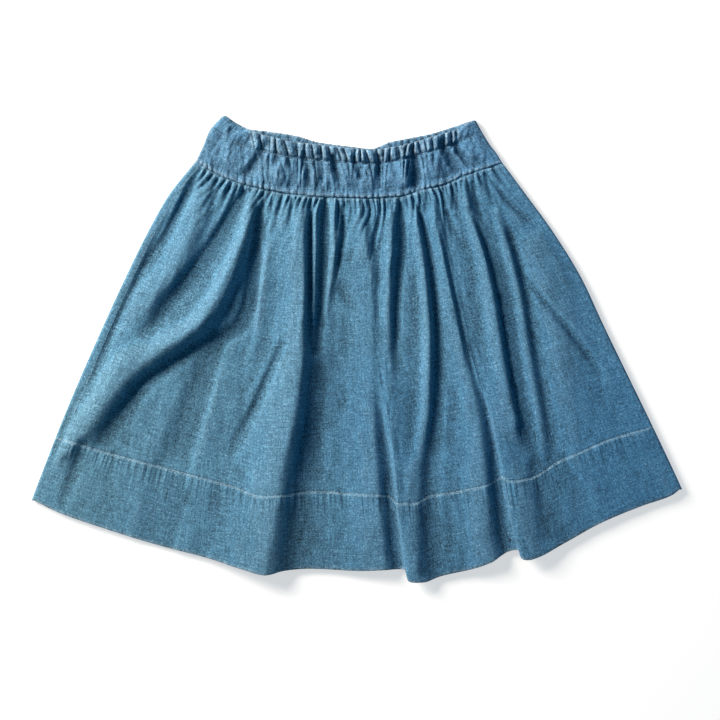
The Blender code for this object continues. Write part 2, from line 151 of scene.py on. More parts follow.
# The panel's gathers run down in even steps of cloth, which the pleats' lips interrupt
CLOTH_STEPS = 114
STEP_PARTS = 10
LIP_STEPS = 4
LIP_HALF_WIDTH = 10.0
LIP_LINE_START = 0.35
LIP_SWING = 6.0
LIP_EDGE = 1.9
Lip = namedtuple("Lip", "line step top full hem_x")
LIPS = (Lip("first_lip", 67, 20, -110, 41.8), Lip("second_lip", 90, 45, -85, 136.4))

# Rows and columns of the cloth. A stop is (mm below the seam or edge, rows from there on)
PANEL_COLUMNS = 302
PANEL_STOPS = ((0, 11), (7, 18), (28, 70), (250, 14), (261, 21), (318.4, 0))
HEM_TURN_ROWS = 10
YOKE_COLUMNS = 420
YOKE_STOPS = ((0.6, 17), (13.5, 22), (39, 8), (44, 0))
CASING_TURN_ROWS = 8
BACK_HEM_TURN_ROWS = 20
BACK_PANEL_COLUMNS = 200
BACK_PANEL_STOPS = ((0, 10), (10, 60), (250, 10), (260, 14), (318.4, 0))
BACK_YOKE_COLUMNS = 260
BACK_YOKE_STOPS = ((0.6, 12), (14, 12), (44, 0))
TURN_UNDER = 0.6
SEAM_TUCK = 2.0

# Heights of the outer face above the floor; the yoke's by the distance below its top edge
YOKE_PROFILE = (
    (0, 5.2), (3.5, 6.8), (9, 6.9), (12.5, 6), (16, 6.4), (30, 6.9), (38.5, 5.9), (41.3, 6.6), (44, 6.3),
)
PANEL_HEIGHT = 5.6
LOWEST_VALLEY = 2.5
LOWEST_HEM_VALLEY = 4.2
HEM_FADE = 20.0
SEAM_HOLD = 0.3
SEAM_FADE = 22.0

# A fold is a smooth path down the cloth, how far it rises or sinks at even steps along it, how wide
# its left slope is at its start and at its end, the same for its right slope where that differs, and
# how sharply the two break off, from 0 to 1
Fold = namedtuple("Fold", "path rise left right sharp", defaults=(None, (0, 0)))
PATH_STEPS = 6
VALLEY_SOFTNESS = 1.2

# Unevenness, the pinches of the casing and the doubled hem
PATCH_TABLE = 64
PANEL_CRUMPLE = 1.1
YOKE_CRUMPLE = 3.6
YOKE_CREASES = 1.1
PINCHES = (
    -88.2, -81.3, -73.5, -68.7, -59.4, -50.2, -44.3, -37, -29.7, -22.4, -14.5, -9.2, -1.4, 3.2,
    9.1, 17.9, 22.8, 28.1, 36.5, 41.3, 48.1, 54, 58.9, 64.8, 74.5, 80.8, 85.3,
)
GATHER_LEAN = 0.3
PINCH_LEAN = 0.4
PINCH_EDGE = 1.5
WAIST_SCALLOP = 0.3
HEM_STEP = 0.35
HEM_GROOVE = 0.55
HEM_GROOVE_WIDTH = 0.9
CASING_GROOVE = 0.8
LINE_TRIES = 4
TUCK_HEIGHT = 4.9
BACK_TUCK_HEIGHT = 0.9
TUCK_FROM = 1.5
TUCK_FADE = 4.0
CREASE_FADE = 8.0
CRUMPLE_FADE = 10.0
BACK_LOWEST = 0.2
BACK_CRUMPLE = 0.5

# The yoke is held flat towards its seam, and its last two rows sink into it
YOKE_HELD_FROM = 2.0
YOKE_HELD_FADE = 12.0
YOKE_HELD_LEAST = 0.3
YOKE_SEAM_SINK = (0.25, 0.9)
YOKE_PUCKER_RISE = 2.6

# Kinds of gathers: where they start and end, unless they cross the whole cloth or stand between the
# pinches; the ranges of their widths, of their runs down the cloth and of their rises; and what the
# draws of each add to the seed. An endless run doesn't fade within the casing.
Gathers = namedtuple("Gathers", "span widths runs rises edge_seed run_seed rise_seed")
ENDLESS = (400, 400)
TIGHT_GATHERS = Gathers((-134, 121), (4.2, 6.6), (7, 28), (1, 5.6), 0, 2, 3)
WIDE_GATHERS = Gathers((-131, 119), (9, 16), (26, 70), (0.8, 2.8), 1, 4, 5)
FINE_GATHERS = Gathers((-133, 120), (2.2, 4), (3, 13), (0.8, 2.6), 2, 4, 5)
HEM_PUCKERS = Gathers(None, (7, 15), (8, 34), (0.1, 1), 0, 2, 1)
HEM_PUCKERS_ABOVE = HEM_PUCKERS._replace(runs=(2, 6), run_seed=3)
YOKE_PUCKERS = Gathers(None, (3.6, 8.5), (3, 13), (0.1, 1), 0, 1, 2)
CASING_PUFFS = Gathers(None, None, ENDLESS, (2.8, 4.8), 0, 1, 1)
CASING_FOLDS = Gathers(None, None, (5, 24), (1.4, 4), 0, 2, 3)
CASING_CREASES = Gathers((PINCHES[0], PINCHES[-1]), (2.2, 4.6), ENDLESS, (0.1, 0.8), 4, 5, 5)

# Layers of unevenness: their share, the width and length of their patches, how far down the cloth
# they lean over by one patch, and how narrow their creases are
Layer = namedtuple("Layer", "share width length lean narrow", defaults=(math.inf, 0))
CRUMPLE_LAYERS = (Layer(0.5, 17, 42), Layer(0.3, 7.5, 16), Layer(0.2, 3.4, 6.5, 22))
CREASE_LAYERS = (Layer(0.6, 13, 19, 40, 9), Layer(0.4, 6, 11, -21, 7))

# The hidden back: the front's unevenness at these shares, resting at and rising at most to these
# heights over the lowest one
BACK_GATHER_SHARE = 0.45
BACK_HEM_SHARE = 0.5
BACK_CASING_SHARE = 0.55
BACK_PANEL_RISE = (0.15, 1.0)
BACK_YOKE_RISE = (0.3, 1.4)

# Seeds of what is drawn by chance
FRONT_GATHERS_SEED = 11
FRONT_CRUMPLE_SEED = 21
FRONT_HEM_SEED = 31
FRONT_CASING_SEED = 51
YOKE_CRUMPLE_SEED = 61
YOKE_PUCKERS_SEED = 65
YOKE_CREASES_SEED = 68
BACK_CASING_SEED = 71
BACK_YOKE_SEED = 81
BACK_GATHERS_SEED = 91
BACK_PANEL_SEED = 101
BACK_HEM_SEED = 111
STITCH_SEED = 5

# Lines where the cloth is worn pale: how far down, how wide and how strongly
WornLine = namedtuple("WornLine", "at width share")
FRONT_PANEL_WEAR = (
    WornLine(HEM_LINE_AT + 0.2, 0.9, 0.6), WornLine(PANEL_LENGTH, 1.4, 0.8), WornLine(1.5, 2, 0.25),
)
BACK_PANEL_WEAR = (WornLine(HEM_LINE_AT, 1.2, 1), WornLine(PANEL_LENGTH, 1.6, 0.8))
FRONT_YOKE_WEAR = (
    WornLine(YOKE_DEPTH - 0.3, 0.8, 0.55), WornLine(41.8, 0.7, 0.4), WornLine(0, 1.1, 0.8),
)
BACK_YOKE_WEAR = (WornLine(YOKE_DEPTH, 1.2, 1), WornLine(0, 1.6, 0.7))
PINCH_WEAR = 0.95

# Relief in mm at which a crest shows fully pale, partly as wear and partly as painted highlight, or a
# valley fully dark with painted shade
CREST_RELIEF = 0.9
BROAD_RELIEF = 3.5

# The cloth's cut, as what shows of it would lie flat, and its thickness
PANEL_CUT = 660.0
BACK_PANEL_CUT = 585.0
PANEL_CUT_LENGTH = 386.0
YOKE_CUT = 262.0
YOKE_CUT_LENGTH = 59.0
CLOTH_THICKNESS = 0.45

# Stitches: their pitch and their own length, width and height
STITCH_PITCH = 2.7
STITCH_WANDER = 0.35
STITCH_SIZE = (2.0, 0.42, 0.3)
STITCH_RAISED = 0.02
STITCH_ROUND = 8
STITCH_RINGS = 5
HEM_ROWS_APART = 1.6
TOPSTITCH_AT = YOKE_DEPTH - 1.6
SIDE_SEAM_AT = 6.0

# Noises of the cloth: whether they follow its threads, their features in a metre, their detail, and
# how much each changes the tone and the relief
Noise = namedtuple("Noise", "threads scale detail tone relief")
NOISES = {
    "lengthwise": Noise(True, (1000, 60, 1), 2, 1, 0.5),
    "crosswise": Noise(True, (50, 1050, 1), 2, 0.9, 0.5),
    "slubs": Noise(True, (60, 420, 1), 1, 0.25, 0),
    "fleck": Noise(False, (780, 780, 780), 3, 2, 0.6),
    "grain": Noise(False, (330, 330, 330), 2, 0.5, 0.7),
    "clouds": Noise(False, (28, 28, 28), 2, 0.35, 0),
    "wide": Noise(False, (6, 6, 6), 1, 0, 0),
}

# The dye as it looks at the left, at the right and where it is worn or painted pale as a highlight, as
# factors and what they add
WARM_DYE = ((1.12, 1.1, 1.07), (0, 0, 0))
COOL_DYE = ((0.74, 0.97, 1.17), (0, 0, 0))
PALE_DYE = ((1.3, 1.1, 1), (0.17, 0.17, 0.165))
# Painted shade: how much darker the colour is painted in the folds' valleys
VALLEY_PAINTED_SHADE = 0.32
HEM_DARKENING = 0.03
WHITENING = 0.38
BUMP = {"Strength": 0.55, "Distance": 0.0004}

# Fine puckers beside the seams, in the finish alone: their features in a metre, their height against
# the threads' relief, how much painted shade and highlight their heights give the colour, and in mm
# where they fade out
HEM_PUCKERING = 9.5
HEM_PUCKER_SCALE = (190, 11, 1)
HEM_PUCKER_FADE = (3, 24)
SEAM_PUCKERING = 10.0
SEAM_PUCKER_SCALE = (105, 8, 1)
SEAM_PUCKER_FADE = (3, 22)
YOKE_CRINKLING = 11.0
YOKE_CRINKLE_SCALE = (150, 70, 1)
PUCKER_PAINTED_SHADE = 0.06

# The yoke's own dye: its depth, its tone and its faded blotches
YOKE_DYE_DEPTH = 0.81
YOKE_TONE = 0.99
YOKE_BLOTCHES = 0.75
YOKE_BLOTCH_SCALE = (75, 45, 1)

# Thread, from where it is still blue to where it is worn
THREAD_COLOURS = ((0.17, 0.3, 0.4, 1), (0.36, 0.5, 0.58, 1))
THREAD_PATCH_SCALE = (160, 160, 160)

# The view: straight down, with soft light from the upper left
CAMERA_AT = (0.003, -0.0093, 2.4)
CAMERA_LENS = 141.0
KEY_AT = (-1.289, 0.903, 0.873)
KEY_SIZE = 0.85
FLOOR_SIZE = 14.0
FILL_COLOUR = (0.15, 0.62, 1.0, 1.0)
KEY_COLOUR = (1.0, 0.945, 0.865)
FLOOR_COLOUR = (1.0, 0.965, 0.94)

PANEL_FOLDS = (
    Fold(((-133, 157), (-141, 140), (-150, 120), (-160, 100), (-172, 80), (-190, 50)),
         (-5, -7, -6, -4, -2, 0), (4, 6), (6, 9)),
    Fold(((-120, 146), (-128, 132), (-141, 100), (-160, 62), (-176, 40), (-195, 0), (-215, -40),
         (-238, -82)), (2, 4, 5, 5, 4, 4, 4, 3), (12, 34), (12, 26)),
    Fold(((-158, 116), (-170, 96), (-187, 60), (-205, 20), (-222, -20), (-240, -60)),
         (-0.8, -2.4, -3, -3, -2.6, -0.8), (3, 4), (5, 8)),
    Fold(((-94, 134), (-104, 115), (-114, 97), (-128, 75), (-144, 55), (-163, 33), (-184, 8)),
         (-7, -8.5, -8.5, -7, -5, -3.2, 0), (7, 17), (6, 15)),
    Fold(((-88, 128), (-94, 100), (-102, 80), (-111, 60), (-121, 40), (-135, 20), (-150, 8), (-163, 0),
         (-190, -20), (-207, -40), (-222, -60), (-238, -80)),
         (4, 7, 10, 11.5, 12, 12, 11, 9.5, 7.5, 6, 5, 3), (8, 34), (13, 17), (0, 0.2)),
    Fold(((-91, 100), (-97, 80), (-104, 60), (-112, 42), (-124, 24), (-138, 10)),
         (0, 1.5, 3, 3.6, 3, 0), (6, 9), (9, 20)),
    Fold(((-82, 118), (-84, 92), (-86, 72), (-87, 52), (-90, 34), (-98, 18), (-114, 8)),
         (-5, -8, -9, -9, -9, -7, -4), (7, 12), (4, 7)),
    Fold(((-78, 96), (-79, 76), (-80, 56), (-83, 34), (-88, 12)), (0, 2, 2.6, 2.4, 0), (3, 5), (9, 16),
         (1, 0)),
    Fold(((-79, 132), (-80, 116), (-82, 96)), (-3, -3.5, -2), (3, 4)),
    Fold(((-72, 130), (-74, 100), (-76, 80), (-79, 60), (-82, 40), (-83, 20), (-86, 0)),
         (1.5, 2.5, 3, 3.5, 3.5, 2.5, 0), (4, 6), (20, 34), (0.5, 0)),
    Fold(((-124, 10), (-150, -6), (-176, -24), (-196, -46), (-214, -70)), (-3.5, -3.5, -3.5, -2.5, -1),
         (5, 7), (9, 14)),
    Fold(((-118, 2), (-128, -28), (-138, -60), (-150, -94), (-158, -126), (-166, -164)),
         (-3, -5, -5, -4.4, -3.8, -2.6), (18, 28), (11, 17)),
    Fold(((-62, 5), (-75, -25), (-88, -55), (-106, -88)), (-2, -3.8, -3.4, -0.8), (5, 9), (5, 8)),
    Fold(((-146, -125), (-158, -152), (-163, -172)), (-2.4, -3.6, -2.4), (9, 9)),
    Fold(((-232, -80), (-240, -104), (-250, -132)), (-2.5, -3, -1), (7, 7), (8, 8)),
    Fold(((-168, -98), (-178, -130)), (-1.6, -0.6), (9, 11)),
    Fold(((-46, 131), (-45, 60), (-45, 0), (-49, -40), (-55, -70), (-62, -100), (-68, -140),
         (-77, -190)), (4.5, 9, 10.5, 12, 12, 11.5, 11.5, 11), (24, 64), (11, 35), (0, 0.5)),
    Fold(((-39, 131), (-40, 90), (-40, 50), (-40, 8)), (-6, -7, -7, -3), (3, 4), (4, 5)),
    Fold(((-40, 20), (-38, -20), (-40, -60), (-46, -100), (-52, -140), (-58, -186)),
         (-2, -3, -3.5, -3.5, -3, -2), (10, 14), (14, 26)),
    Fold(((-35, 131), (-34, 60), (-36, 0)), (2.5, 2.5, 0.5), (4, 4)),
    Fold(((-26, 129), (-27, 90), (-29, 60), (-31, 30), (-34, 0)), (-6, -6.5, -6.5, -5.5, -3), (6, 8),
         (5, 7)),
    Fold(((-19, 128), (-18, 92), (-21, 60), (-26, 30)), (3, 4, 3, 1), (5, 7), (4, 5), (0, 0.5)),
    Fold(((-12, 120), (-11, 100), (-13, 84), (-16, 66)), (-4, -4, -3, -0.5), (3, 4), (3, 5)),
    Fold(((-14, 56), (-10, 44), (-4, 38)), (-0.5, -2, -0.3), (5, 5)),
    Fold(((2, 128), (8, 90), (12, 60), (13, 20), (14, -20), (15, -60), (17, -100), (20, -140),
         (24, -187)), (2.5, 3.8, 2.9, 2.5, 2.9, 4.2, 5, 5.5, 5), (12, 46), (7, 13), (0, 0.3)),
    Fold(((21, 128), (18, 106), (14, 84)), (-2.1, -2.5, -0.4), (4, 4), (3, 3)),
    Fold(((29, 130), (30, 90), (28, 60), (27, 30), (27, 0), (30, -40)), (3.4, 5, 4.6, 3.8, 2.1, 0.4),
         (10, 12), (5, 8), (0, 0.4)),
    Fold(((38, 122), (39, 90), (36, 60), (34, 30), (34, 4), (36, -24)), (-4, -5, -4.6, -3.8, -2.6, 0),
         (4, 6), (5, 7)),
    Fold(((46, 130), (53, 100), (57, 70), (60, 40), (62, 10), (62, -20), (61, -50), (56, -80),
         (52, -110), (52, -150), (53, -190)), (2.9, 4.2, 5.5, 5.9, 5.9, 5.5, 4, 2.4, 1.2, 0.9, 0.7),
         (9, 14), (4, 14), (0, 0.4)),
    Fold(((52, 120), (58, 100), (62, 80), (65, 60), (66.5, 40), (68, 20), (69, 0), (69, -20), (68, -40),
         (67, -60), (65, -85), (63, -110), (63, -150), (63, -190)),
         (-2.5, -2.5, -2.8, -2.8, -2.8, -2.8, -2.8, -2.8, -2.6, -2.4, -2.2, -2.2, -2.2, -2), (3, 13),
         (3, 14)),
    Fold(((63, 131), (70, 100), (76, 70), (81, 45), (86, 20), (91, -5), (98, -30), (103, -60),
         (107, -90), (110, -120), (113, -160), (117, -181)),
         (1.7, 2.9, 3.8, 4.2, 4.2, 4.2, 4.2, 5, 5.5, 5.9, 5.9, 5.5), (6, 38), (4, 14), (0, 0.4)),
    Fold(((68, 108), (74, 88), (80, 62), (85, 40), (90, 15), (95, -10), (101, -30), (108, -50),
         (114, -80), (118, -110), (122, -140), (127, -170)),
         (-1, -1.5, -2, -2, -2, -1.5, -1.5, -2, -2.5, -2.5, -2.5, -2), (3, 7), (3, 5)),
    Fold(((91, 142), (99, 110), (107, 85), (113, 60), (118, 35), (122, 10), (126, -15), (131, -40),
         (136, -62)), (3.4, 4.6, 5.5, 5.9, 5.9, 5.9, 5.9, 5.5, 4.2), (10, 24), (4, 6), (0, 0.5)),
    Fold(((96, 118), (104, 100), (110, 84), (115.5, 64), (120, 45), (124, 22), (128, -2), (132, -26),
         (137, -50), (141, -66), (150, -74)),
         (-1.7, -2.5, -2.5, -2.5, -2.5, -2.5, -2.5, -2.5, -2.5, -2.1, -0.8), (3, 4)),
    Fold(((118, 118), (127, 90), (133, 70), (139, 45), (143, 20), (147, -5), (151, -30), (156, -58),
         (159, -85)), (1.7, 3.2, 4, 4, 4, 3.7, 3.2, 2.6, 1.4), (8, 12), (6, 10), (0, 0.3)),
    Fold(((116, 112), (130, 64), (139, 18), (147, -30), (156, -76)), (-0.5, -1.4, -1.6, -1.4, -0.5),
         (14, 18), (22, 34)),
    Fold(((129, 100), (135, 82), (139, 66), (143, 48), (147, 26), (151, 2), (155, -22), (160, -48),
         (164, -76), (167, -96)), (-2.1, -2.9, -2.9, -2.5, -2.1, -2.1, -2.1, -2.1, -1.7, -0.8), (4, 6),
         (6, 10)),
    Fold(((150, 90), (168, 30), (180, -40), (200, -110), (215, -155)), (2, 3, 3, 1.6, 0.8), (18, 30),
         (22, 45)),
    Fold(((148, 56), (160, 40), (175, 23), (190, 4), (208, -22)), (-1.4, -2.8, -3.4, -2.8, -0.6),
         (4, 6)),
    Fold(((110, 150), (118, 140), (126, 129), (140, 115), (156, 102)), (-1.3, -2.5, -3.4, -2.1, -0.3),
         (3, 5)),
    Fold(((99, 141), (103, 124), (107, 106)), (-2.5, -2, -0.4), (3, 3)),
    Fold(((78, 116), (84, 97), (91, 84)), (-1.5, -2.5, -0.4), (5, 6)),
    Fold(((21, -5), (27, -50), (35, -105), (40, -150), (47.5, -198)), (0.8, 3.8, 5.5, 6.3, 6.7),
         (8, 13), (19, 30)),
    Fold(((18, -40), (21, -66), (26, -100), (30, -140), (36, -184)), (-0.5, -1.5, -2, -2, -2), (7, 11),
         (3, 4)),
    Fold(((98, 0), (113, -45), (126, -95), (134, -135), (144, -180)), (0, 3.4, 5, 5.9, 6.3), (8, 13),
         (20, 46)),
)

# Finer creases near the seam and in the open cloth
PANEL_CREASES = (
    Fold(((-95, 133), (-100, 122), (-107, 109)), (-3.4, -4, -2), (3, 5)),
    Fold(((-118, 143), (-124, 130), (-132, 116)), (-2.4, -2, -0.3), (3, 4)),
    Fold(((-108, 137), (-114, 126)), (-2, -0.3), (3, 3)),
    Fold(((-71, 131), (-73, 114), (-77, 100)), (-2, -1.6, -0.2), (2.4, 3)),
    Fold(((-63, 131), (-67, 112), (-71, 99)), (-2, -2, -0.2), (2.4, 3)),
    Fold(((-54, 130), (-57, 108), (-61, 96)), (-2, -1.8, -0.2), (2.4, 3)),
    Fold(((-49, 130), (-51, 112)), (-1.4, -0.2), (2.4, 3)),
    Fold(((-7, 129), (-8, 112)), (-1.6, -0.2), (2.4, 2.6)),
    Fold(((3, 129), (2, 116)), (-1.4, -0.2), (2.4, 2.6)),
    Fold(((10, 129), (9, 112)), (-1.8, -0.2), (2.4, 2.6)),
    Fold(((28, 130), (27, 106)), (-1.8, -0.3), (2.4, 2.6)),
    Fold(((43, 131), (44, 110)), (-1.6, -0.3), (2.4, 2.6)),
    Fold(((72, 139), (76, 122), (80, 108)), (-2, -1.6, -0.2), (3, 3)),
    Fold(((80, 142), (85, 124), (88, 112)), (-2, -1.8, -0.2), (2.6, 3)),
    Fold(((108, 150), (114, 130), (118, 116)), (-1.8, -1.6, -0.2), (2.6, 3)),
    Fold(((-198, -20), (-222, -72)), (-0.9, 0), (8, 10)),
    Fold(((-28, -60), (-30, -130), (-34, -184)), (-0.4, -1, -0.8), (12, 16)),
    Fold(((150, -100), (158, -130), (160, -160)), (-1.2, -1.6, -0.6), (8, 10)),
    Fold(((176, -92), (184, -120)), (-1.2, -0.2), (7, 9)),
    Fold(((-206, -90), (-212, -120)), (-0.8, -0.2), (8, 9)),
)

YOKE_FOLDS = (
    Fold(((-78, 173), (-84, 160), (-91, 151), (-102, 143)), (-4.5, -5, -4, -1.5), (6, 9)),
    Fold(((-90, 181), (-96, 172)), (-1.5, -0.5), (5, 6)),
    Fold(((-62, 166), (-63, 142)), (1.4, 1.8), (12, 14)),
    Fold(((-44, 166), (-41, 150), (-41, 133)), (-4, -4.4, -3.2), (4, 7), (3.5, 5)),
    Fold(((-33, 164), (-29, 142), (-29, 133)), (-2.8, -3.4, -3), (4, 6), (4, 4)),
    Fold(((-19, 163), (-17, 150), (-14, 138)), (-4.4, -4.2, -2.4), (4, 6)),
    Fold(((-10, 160), (-8, 148)), (1.6, 1.2), (6, 6)),
    Fold(((-2, 162), (2, 152), (7, 143)), (-3.8, -3.6, -1.8), (4, 6), (4, 5)),
    Fold(((20, 163), (20, 138)), (-3.4, -2.6), (4, 7), (3, 4)),
    Fold(((29, 162), (34, 148)), (-2, -0.6), (4, 4)),
    Fold(((41, 162), (43, 140)), (2, 2), (8, 9), (4, 5), (0, 0.5)),
    Fold(((47, 171), (50, 156), (50, 142), (54, 133)), (-4, -5.5, -7.5, -6), (4, 6), (5, 9)),
    Fold(((66, 160), (70, 148)), (1.4, 1), (8, 8), (7, 7)),
    Fold(((73, 174), (80, 161), (91, 145)), (-4, -4.6, -2.4), (5, 8)),
    Fold(((84, 172), (97, 156), (106, 150)), (-3, -3.6, -1.2), (4, 5), (4, 7)),
    Fold(((97, 182), (104, 170)), (-1.2, -0.4), (5, 6)),
    Fold(((-126, 164), (-118, 176), (-112, 186)), (-0.6, -1, -0.3), (2.5, 3)),
)

# Soft pleats of the hidden back, which lie almost flat against the floor
BACK_FOLDS = (
    Fold(((-112, 138), (-150, 20), (-186, -120)), (0.5, 0.6, 0.3), (8, 22), (6, 18)),
    Fold(((-70, 130), (-92, 0), (-118, -150)), (0.6, 0.6, 0.4), (8, 20), (8, 18)),
    Fold(((-36, 126), (-40, -20), (-52, -172)), (0.5, 0.6, 0.5), (9, 20), (7, 16)),
    Fold(((2, 125), (6, -30), (2, -176)), (0.6, 0.5, 0.4), (8, 18), (8, 20)),
    Fold(((44, 127), (62, -10), (70, -168)), (0.5, 0.6, 0.5), (8, 20), (8, 18)),
    Fold(((82, 138), (118, 10), (148, -140)), (0.6, 0.6, 0.3), (7, 18), (9, 22)),
    Fold(((108, 146), (156, 40), (202, -100)), (0.4, 0.5, 0.2), (7, 18), (8, 20)),
)


def ease(value):
    """Smooth step from 0 at 0 to 1 at 1."""
    value = np.clip(value, 0, 1)
    return value * value * (3 - 2 * value)


def through(points, at):
    """Value at a place on the smooth curve through (place, value) points, straight past its ends."""
    stations, heights = np.array(points, float).T
    steps = np.diff(stations)
    slopes = np.diff(heights) / steps
    product = slopes[:-1] * slopes[1:]
    same_way = product > 0
    inner = np.where(same_way, 2 * product / np.where(same_way, slopes[:-1] + slopes[1:], 1), 0)
    tangents = np.concatenate([slopes[:1], inner, slopes[-1:]])
    at = np.asarray(at, float)
    inside = np.clip(at, stations[0], stations[-1])
    i = np.clip(np.searchsorted(stations, inside, side="right") - 1, 0, len(steps) - 1)
    u = (inside - stations[i]) / steps[i]
    value = (
        heights[i] * (1 + 2 * u) * (1 - u) ** 2
        + heights[i + 1] * (3 - 2 * u) * u**2
        + tangents[i] * steps[i] * u * (1 - u) ** 2
        - tangents[i + 1] * steps[i] * u**2 * (1 - u)
    )
    past = at - inside
    return value + past * np.where(past < 0, tangents[0], tangents[-1])


def fold_path(points):
    """The smooth path through a fold's few points."""
    points = np.array(points, float)
    stations = np.arange(len(points))
    fine = np.linspace(0, len(points) - 1, (len(points) - 1) * PATH_STEPS + 1)
    if len(points) == 2:
        return points[0] + np.outer(fine, points[1] - points[0])
    across = through(np.column_stack([stations, points[:, 0]]), fine)
    down = through(np.column_stack([stations, points[:, 1]]), fine)
    return np.column_stack([across, down])


def between(ends, share):
    """The value at a share of the way between two ends."""
    return ends[0] + (ends[1] - ends[0]) * share


def fold_height(fold, x, y):
    """How far one fold raises or sinks the cloth at x, y."""
    path = fold_path(fold.path)
    right_slope = fold.right or fold.left
    reach = max(fold.left + right_slope)
    low = path.min(0) - reach
    high = path.max(0) + reach
    near = (x > low[0]) & (x < high[0]) & (y > low[1]) & (y < high[1])
    height = np.zeros(x.shape)
    if not near.any():
        return height
    x = x[near]
    y = y[near]
    runs = np.diff(path, axis=0)
    lengths = np.hypot(runs[:, 0], runs[:, 1])
    travelled = np.concatenate([[0], np.cumsum(lengths)])
    nearest = np.full(x.shape, np.inf)
    along = np.zeros(x.shape)
    side = np.ones(x.shape)
    for start, run, length, before in zip(path, runs, lengths, travelled):
        dx = x - start[0]
        dy = y - start[1]
        share = np.clip((dx * run[0] + dy * run[1]) / length**2, 0, 1)
        distance = np.hypot(dx - share * run[0], dy - share * run[1])
        closer = distance < nearest
        nearest = np.where(closer, distance, nearest)
        along = np.where(closer, before + share * length, along)
        side = np.where(closer, np.sign(run[0] * dy - run[1] * dx), side)
    share = along / travelled[-1]
    rise = np.interp(share, np.linspace(0, 1, len(fold.rise)), fold.rise)
    width = np.where(side < 0, between(fold.left, share), between(right_slope, share))
    out = np.clip(nearest / width, 0, 1)
    soft = 1 - ease(out)
    sharp = np.where(side < 0, *fold.sharp)
    height[near] = rise * (soft + sharp * ((1 - out) ** 2 - soft))
    return height


def folds_height(folds, x, y):
    return sum(fold_height(fold, x, y) for fold in folds)


def keep_above(height, lowest):
    """The height, turned softly level where it would sink under the lowest one."""
    over = height - lowest
    return lowest + 0.5 * (over + np.sqrt(over**2 + VALLEY_SOFTNESS**2))


def patches(across, down, seed):
    """Smooth fixed unevenness between about -1 and 1, with patches about one unit wide."""
    table = np.random.RandomState(seed).uniform(-1, 1, (PATCH_TABLE, PATCH_TABLE))
    column = np.floor(across).astype(int)
    row = np.floor(down).astype(int)
    part_across = ease(across - column)
    part_down = ease(down - row)

    def corner(right, under):
        return table[(row + under) % PATCH_TABLE, (column + right) % PATCH_TABLE]

    top = corner(0, 0) + (corner(1, 0) - corner(0, 0)) * part_across
    bottom = corner(0, 1) + (corner(1, 1) - corner(0, 1)) * part_across
    return top + (bottom - top) * part_down


def gathers(places, edges, below, lengths, rises):
    """Tight gathers between the edges, rounded on top and sharp between, each fading at its own length."""
    count = len(edges) - 1
    phase = np.interp(places, edges, np.arange(count + 1.0))
    number = np.clip(np.floor(phase).astype(int), 0, count - 1)
    part = np.clip(phase - number, 0, 1)
    round_top = np.sin(math.pi * part) ** 0.7 - 0.55
    inside = (places > edges[0]) & (places < edges[-1])
    fade = np.exp(-((below / lengths[number]) ** 2))
    return round_top * rises[number] * fade * inside


def drawn(bounds, count, seed):
    """Values drawn evenly between two bounds."""
    return np.random.RandomState(seed).uniform(*bounds, count)


def uneven_steps(first, last, widths, seed):
    """Places from first to last, uneven steps apart."""
    steps = drawn(widths, int((last - first) / widths[0]) + 2, seed)
    places = first + np.concatenate([[0], np.cumsum(steps)])
    count = int(np.searchsorted(places, last))
    return first + (places[: count + 1] - first) * (last - first) / (places[count] - first)


def uneven_gathers(places, below, kind, seed, edges=None):
    """Gathers of one kind, between the edges given or else between uneven ones."""
    if edges is None:
        first, last = kind.span or (places.min(), places.max())
        edges = uneven_steps(first, last, kind.widths, seed + kind.edge_seed)
    runs = drawn(kind.runs, len(edges), seed + kind.run_seed)
    rises = drawn(kind.rises, len(edges), seed + kind.rise_seed)
    return gathers(places, edges, below, runs, rises)


def row_places(stops):
    """Distances of the rows from the list of stops."""
    places = [np.linspace(a[0], b[0], a[1], endpoint=False) for a, b in zip(stops, stops[1:])]
    return np.concatenate([*places, [stops[-1][0]]])


def side_turn():
    """Offsets of a side turn's columns, inwards from its edge and up or down from its seam."""
    angles = np.linspace(0, math.pi / 2, TURN_STEPS + 1)[:-1]
    inwards = np.concatenate([[0], TURN_RADIUS * (1 - np.cos(angles))])
    away = np.concatenate([[0], TURN_STRAIGHT + TURN_RADIUS * np.sin(angles)])
    return inwards, away


def with_side_turns(points):
    """The points of a panel with its two side turns added, each ending at a side seam."""
    inwards, away = side_turn()
    left = np.repeat(points[:, :1], len(inwards), axis=1)
    right = np.repeat(points[:, -1:], len(inwards), axis=1)
    left[:, :, 0] += inwards - TURN_RADIUS
    right[:, :, 0] -= inwards - TURN_RADIUS
    full = TURN_STRAIGHT + TURN_RADIUS
    for turn, end in ((left, points[:, :1, 2]), (right, points[:, -1:, 2])):
        turn[:, :, 2] = SEAM_HEIGHT + (end - SEAM_HEIGHT) * away / full
    return np.hstack([left, points, right[:, ::-1]])


def closest(values, wanted):
    return int(np.argmin(abs(values - wanted)))


def bent_to_lines(x, columns, targets, every):
    """Shifts each row of x so that the cloth at the given columns lies on its target lines."""
    at = [closest(every, column) for column in columns]
    shifts = np.column_stack([target - x[:, column] for column, target in zip(at, targets)])
    return x + np.array([np.interp(every, every[at], shift) for shift in shifts])


def bent_to_sides(x, lines, shares):
    """Shifts each row of x so that its ends lie inside two side lines by the turns' radius."""
    targets = (lines[0] + TURN_RADIUS, lines[1] - TURN_RADIUS)
    return bent_to_lines(x, (0, 1), targets, shares)


def side_blend(x):
    """0 at the side turns, rising to 1 inside them."""
    inside = np.minimum(x - x[:, :1], x[:, -1:] - x)
    return ease(inside / TURN_FADE)


def evenly(edge, shares):
    """Places along an edge between its two side turns."""
    return edge[0][0] + TURN_RADIUS + (edge[-1][0] - edge[0][0] - 2 * TURN_RADIUS) * shares


def panel_line(name, y):
    return through([(line.y, getattr(line, name)) for line in reversed(PANEL_LINES)], y)


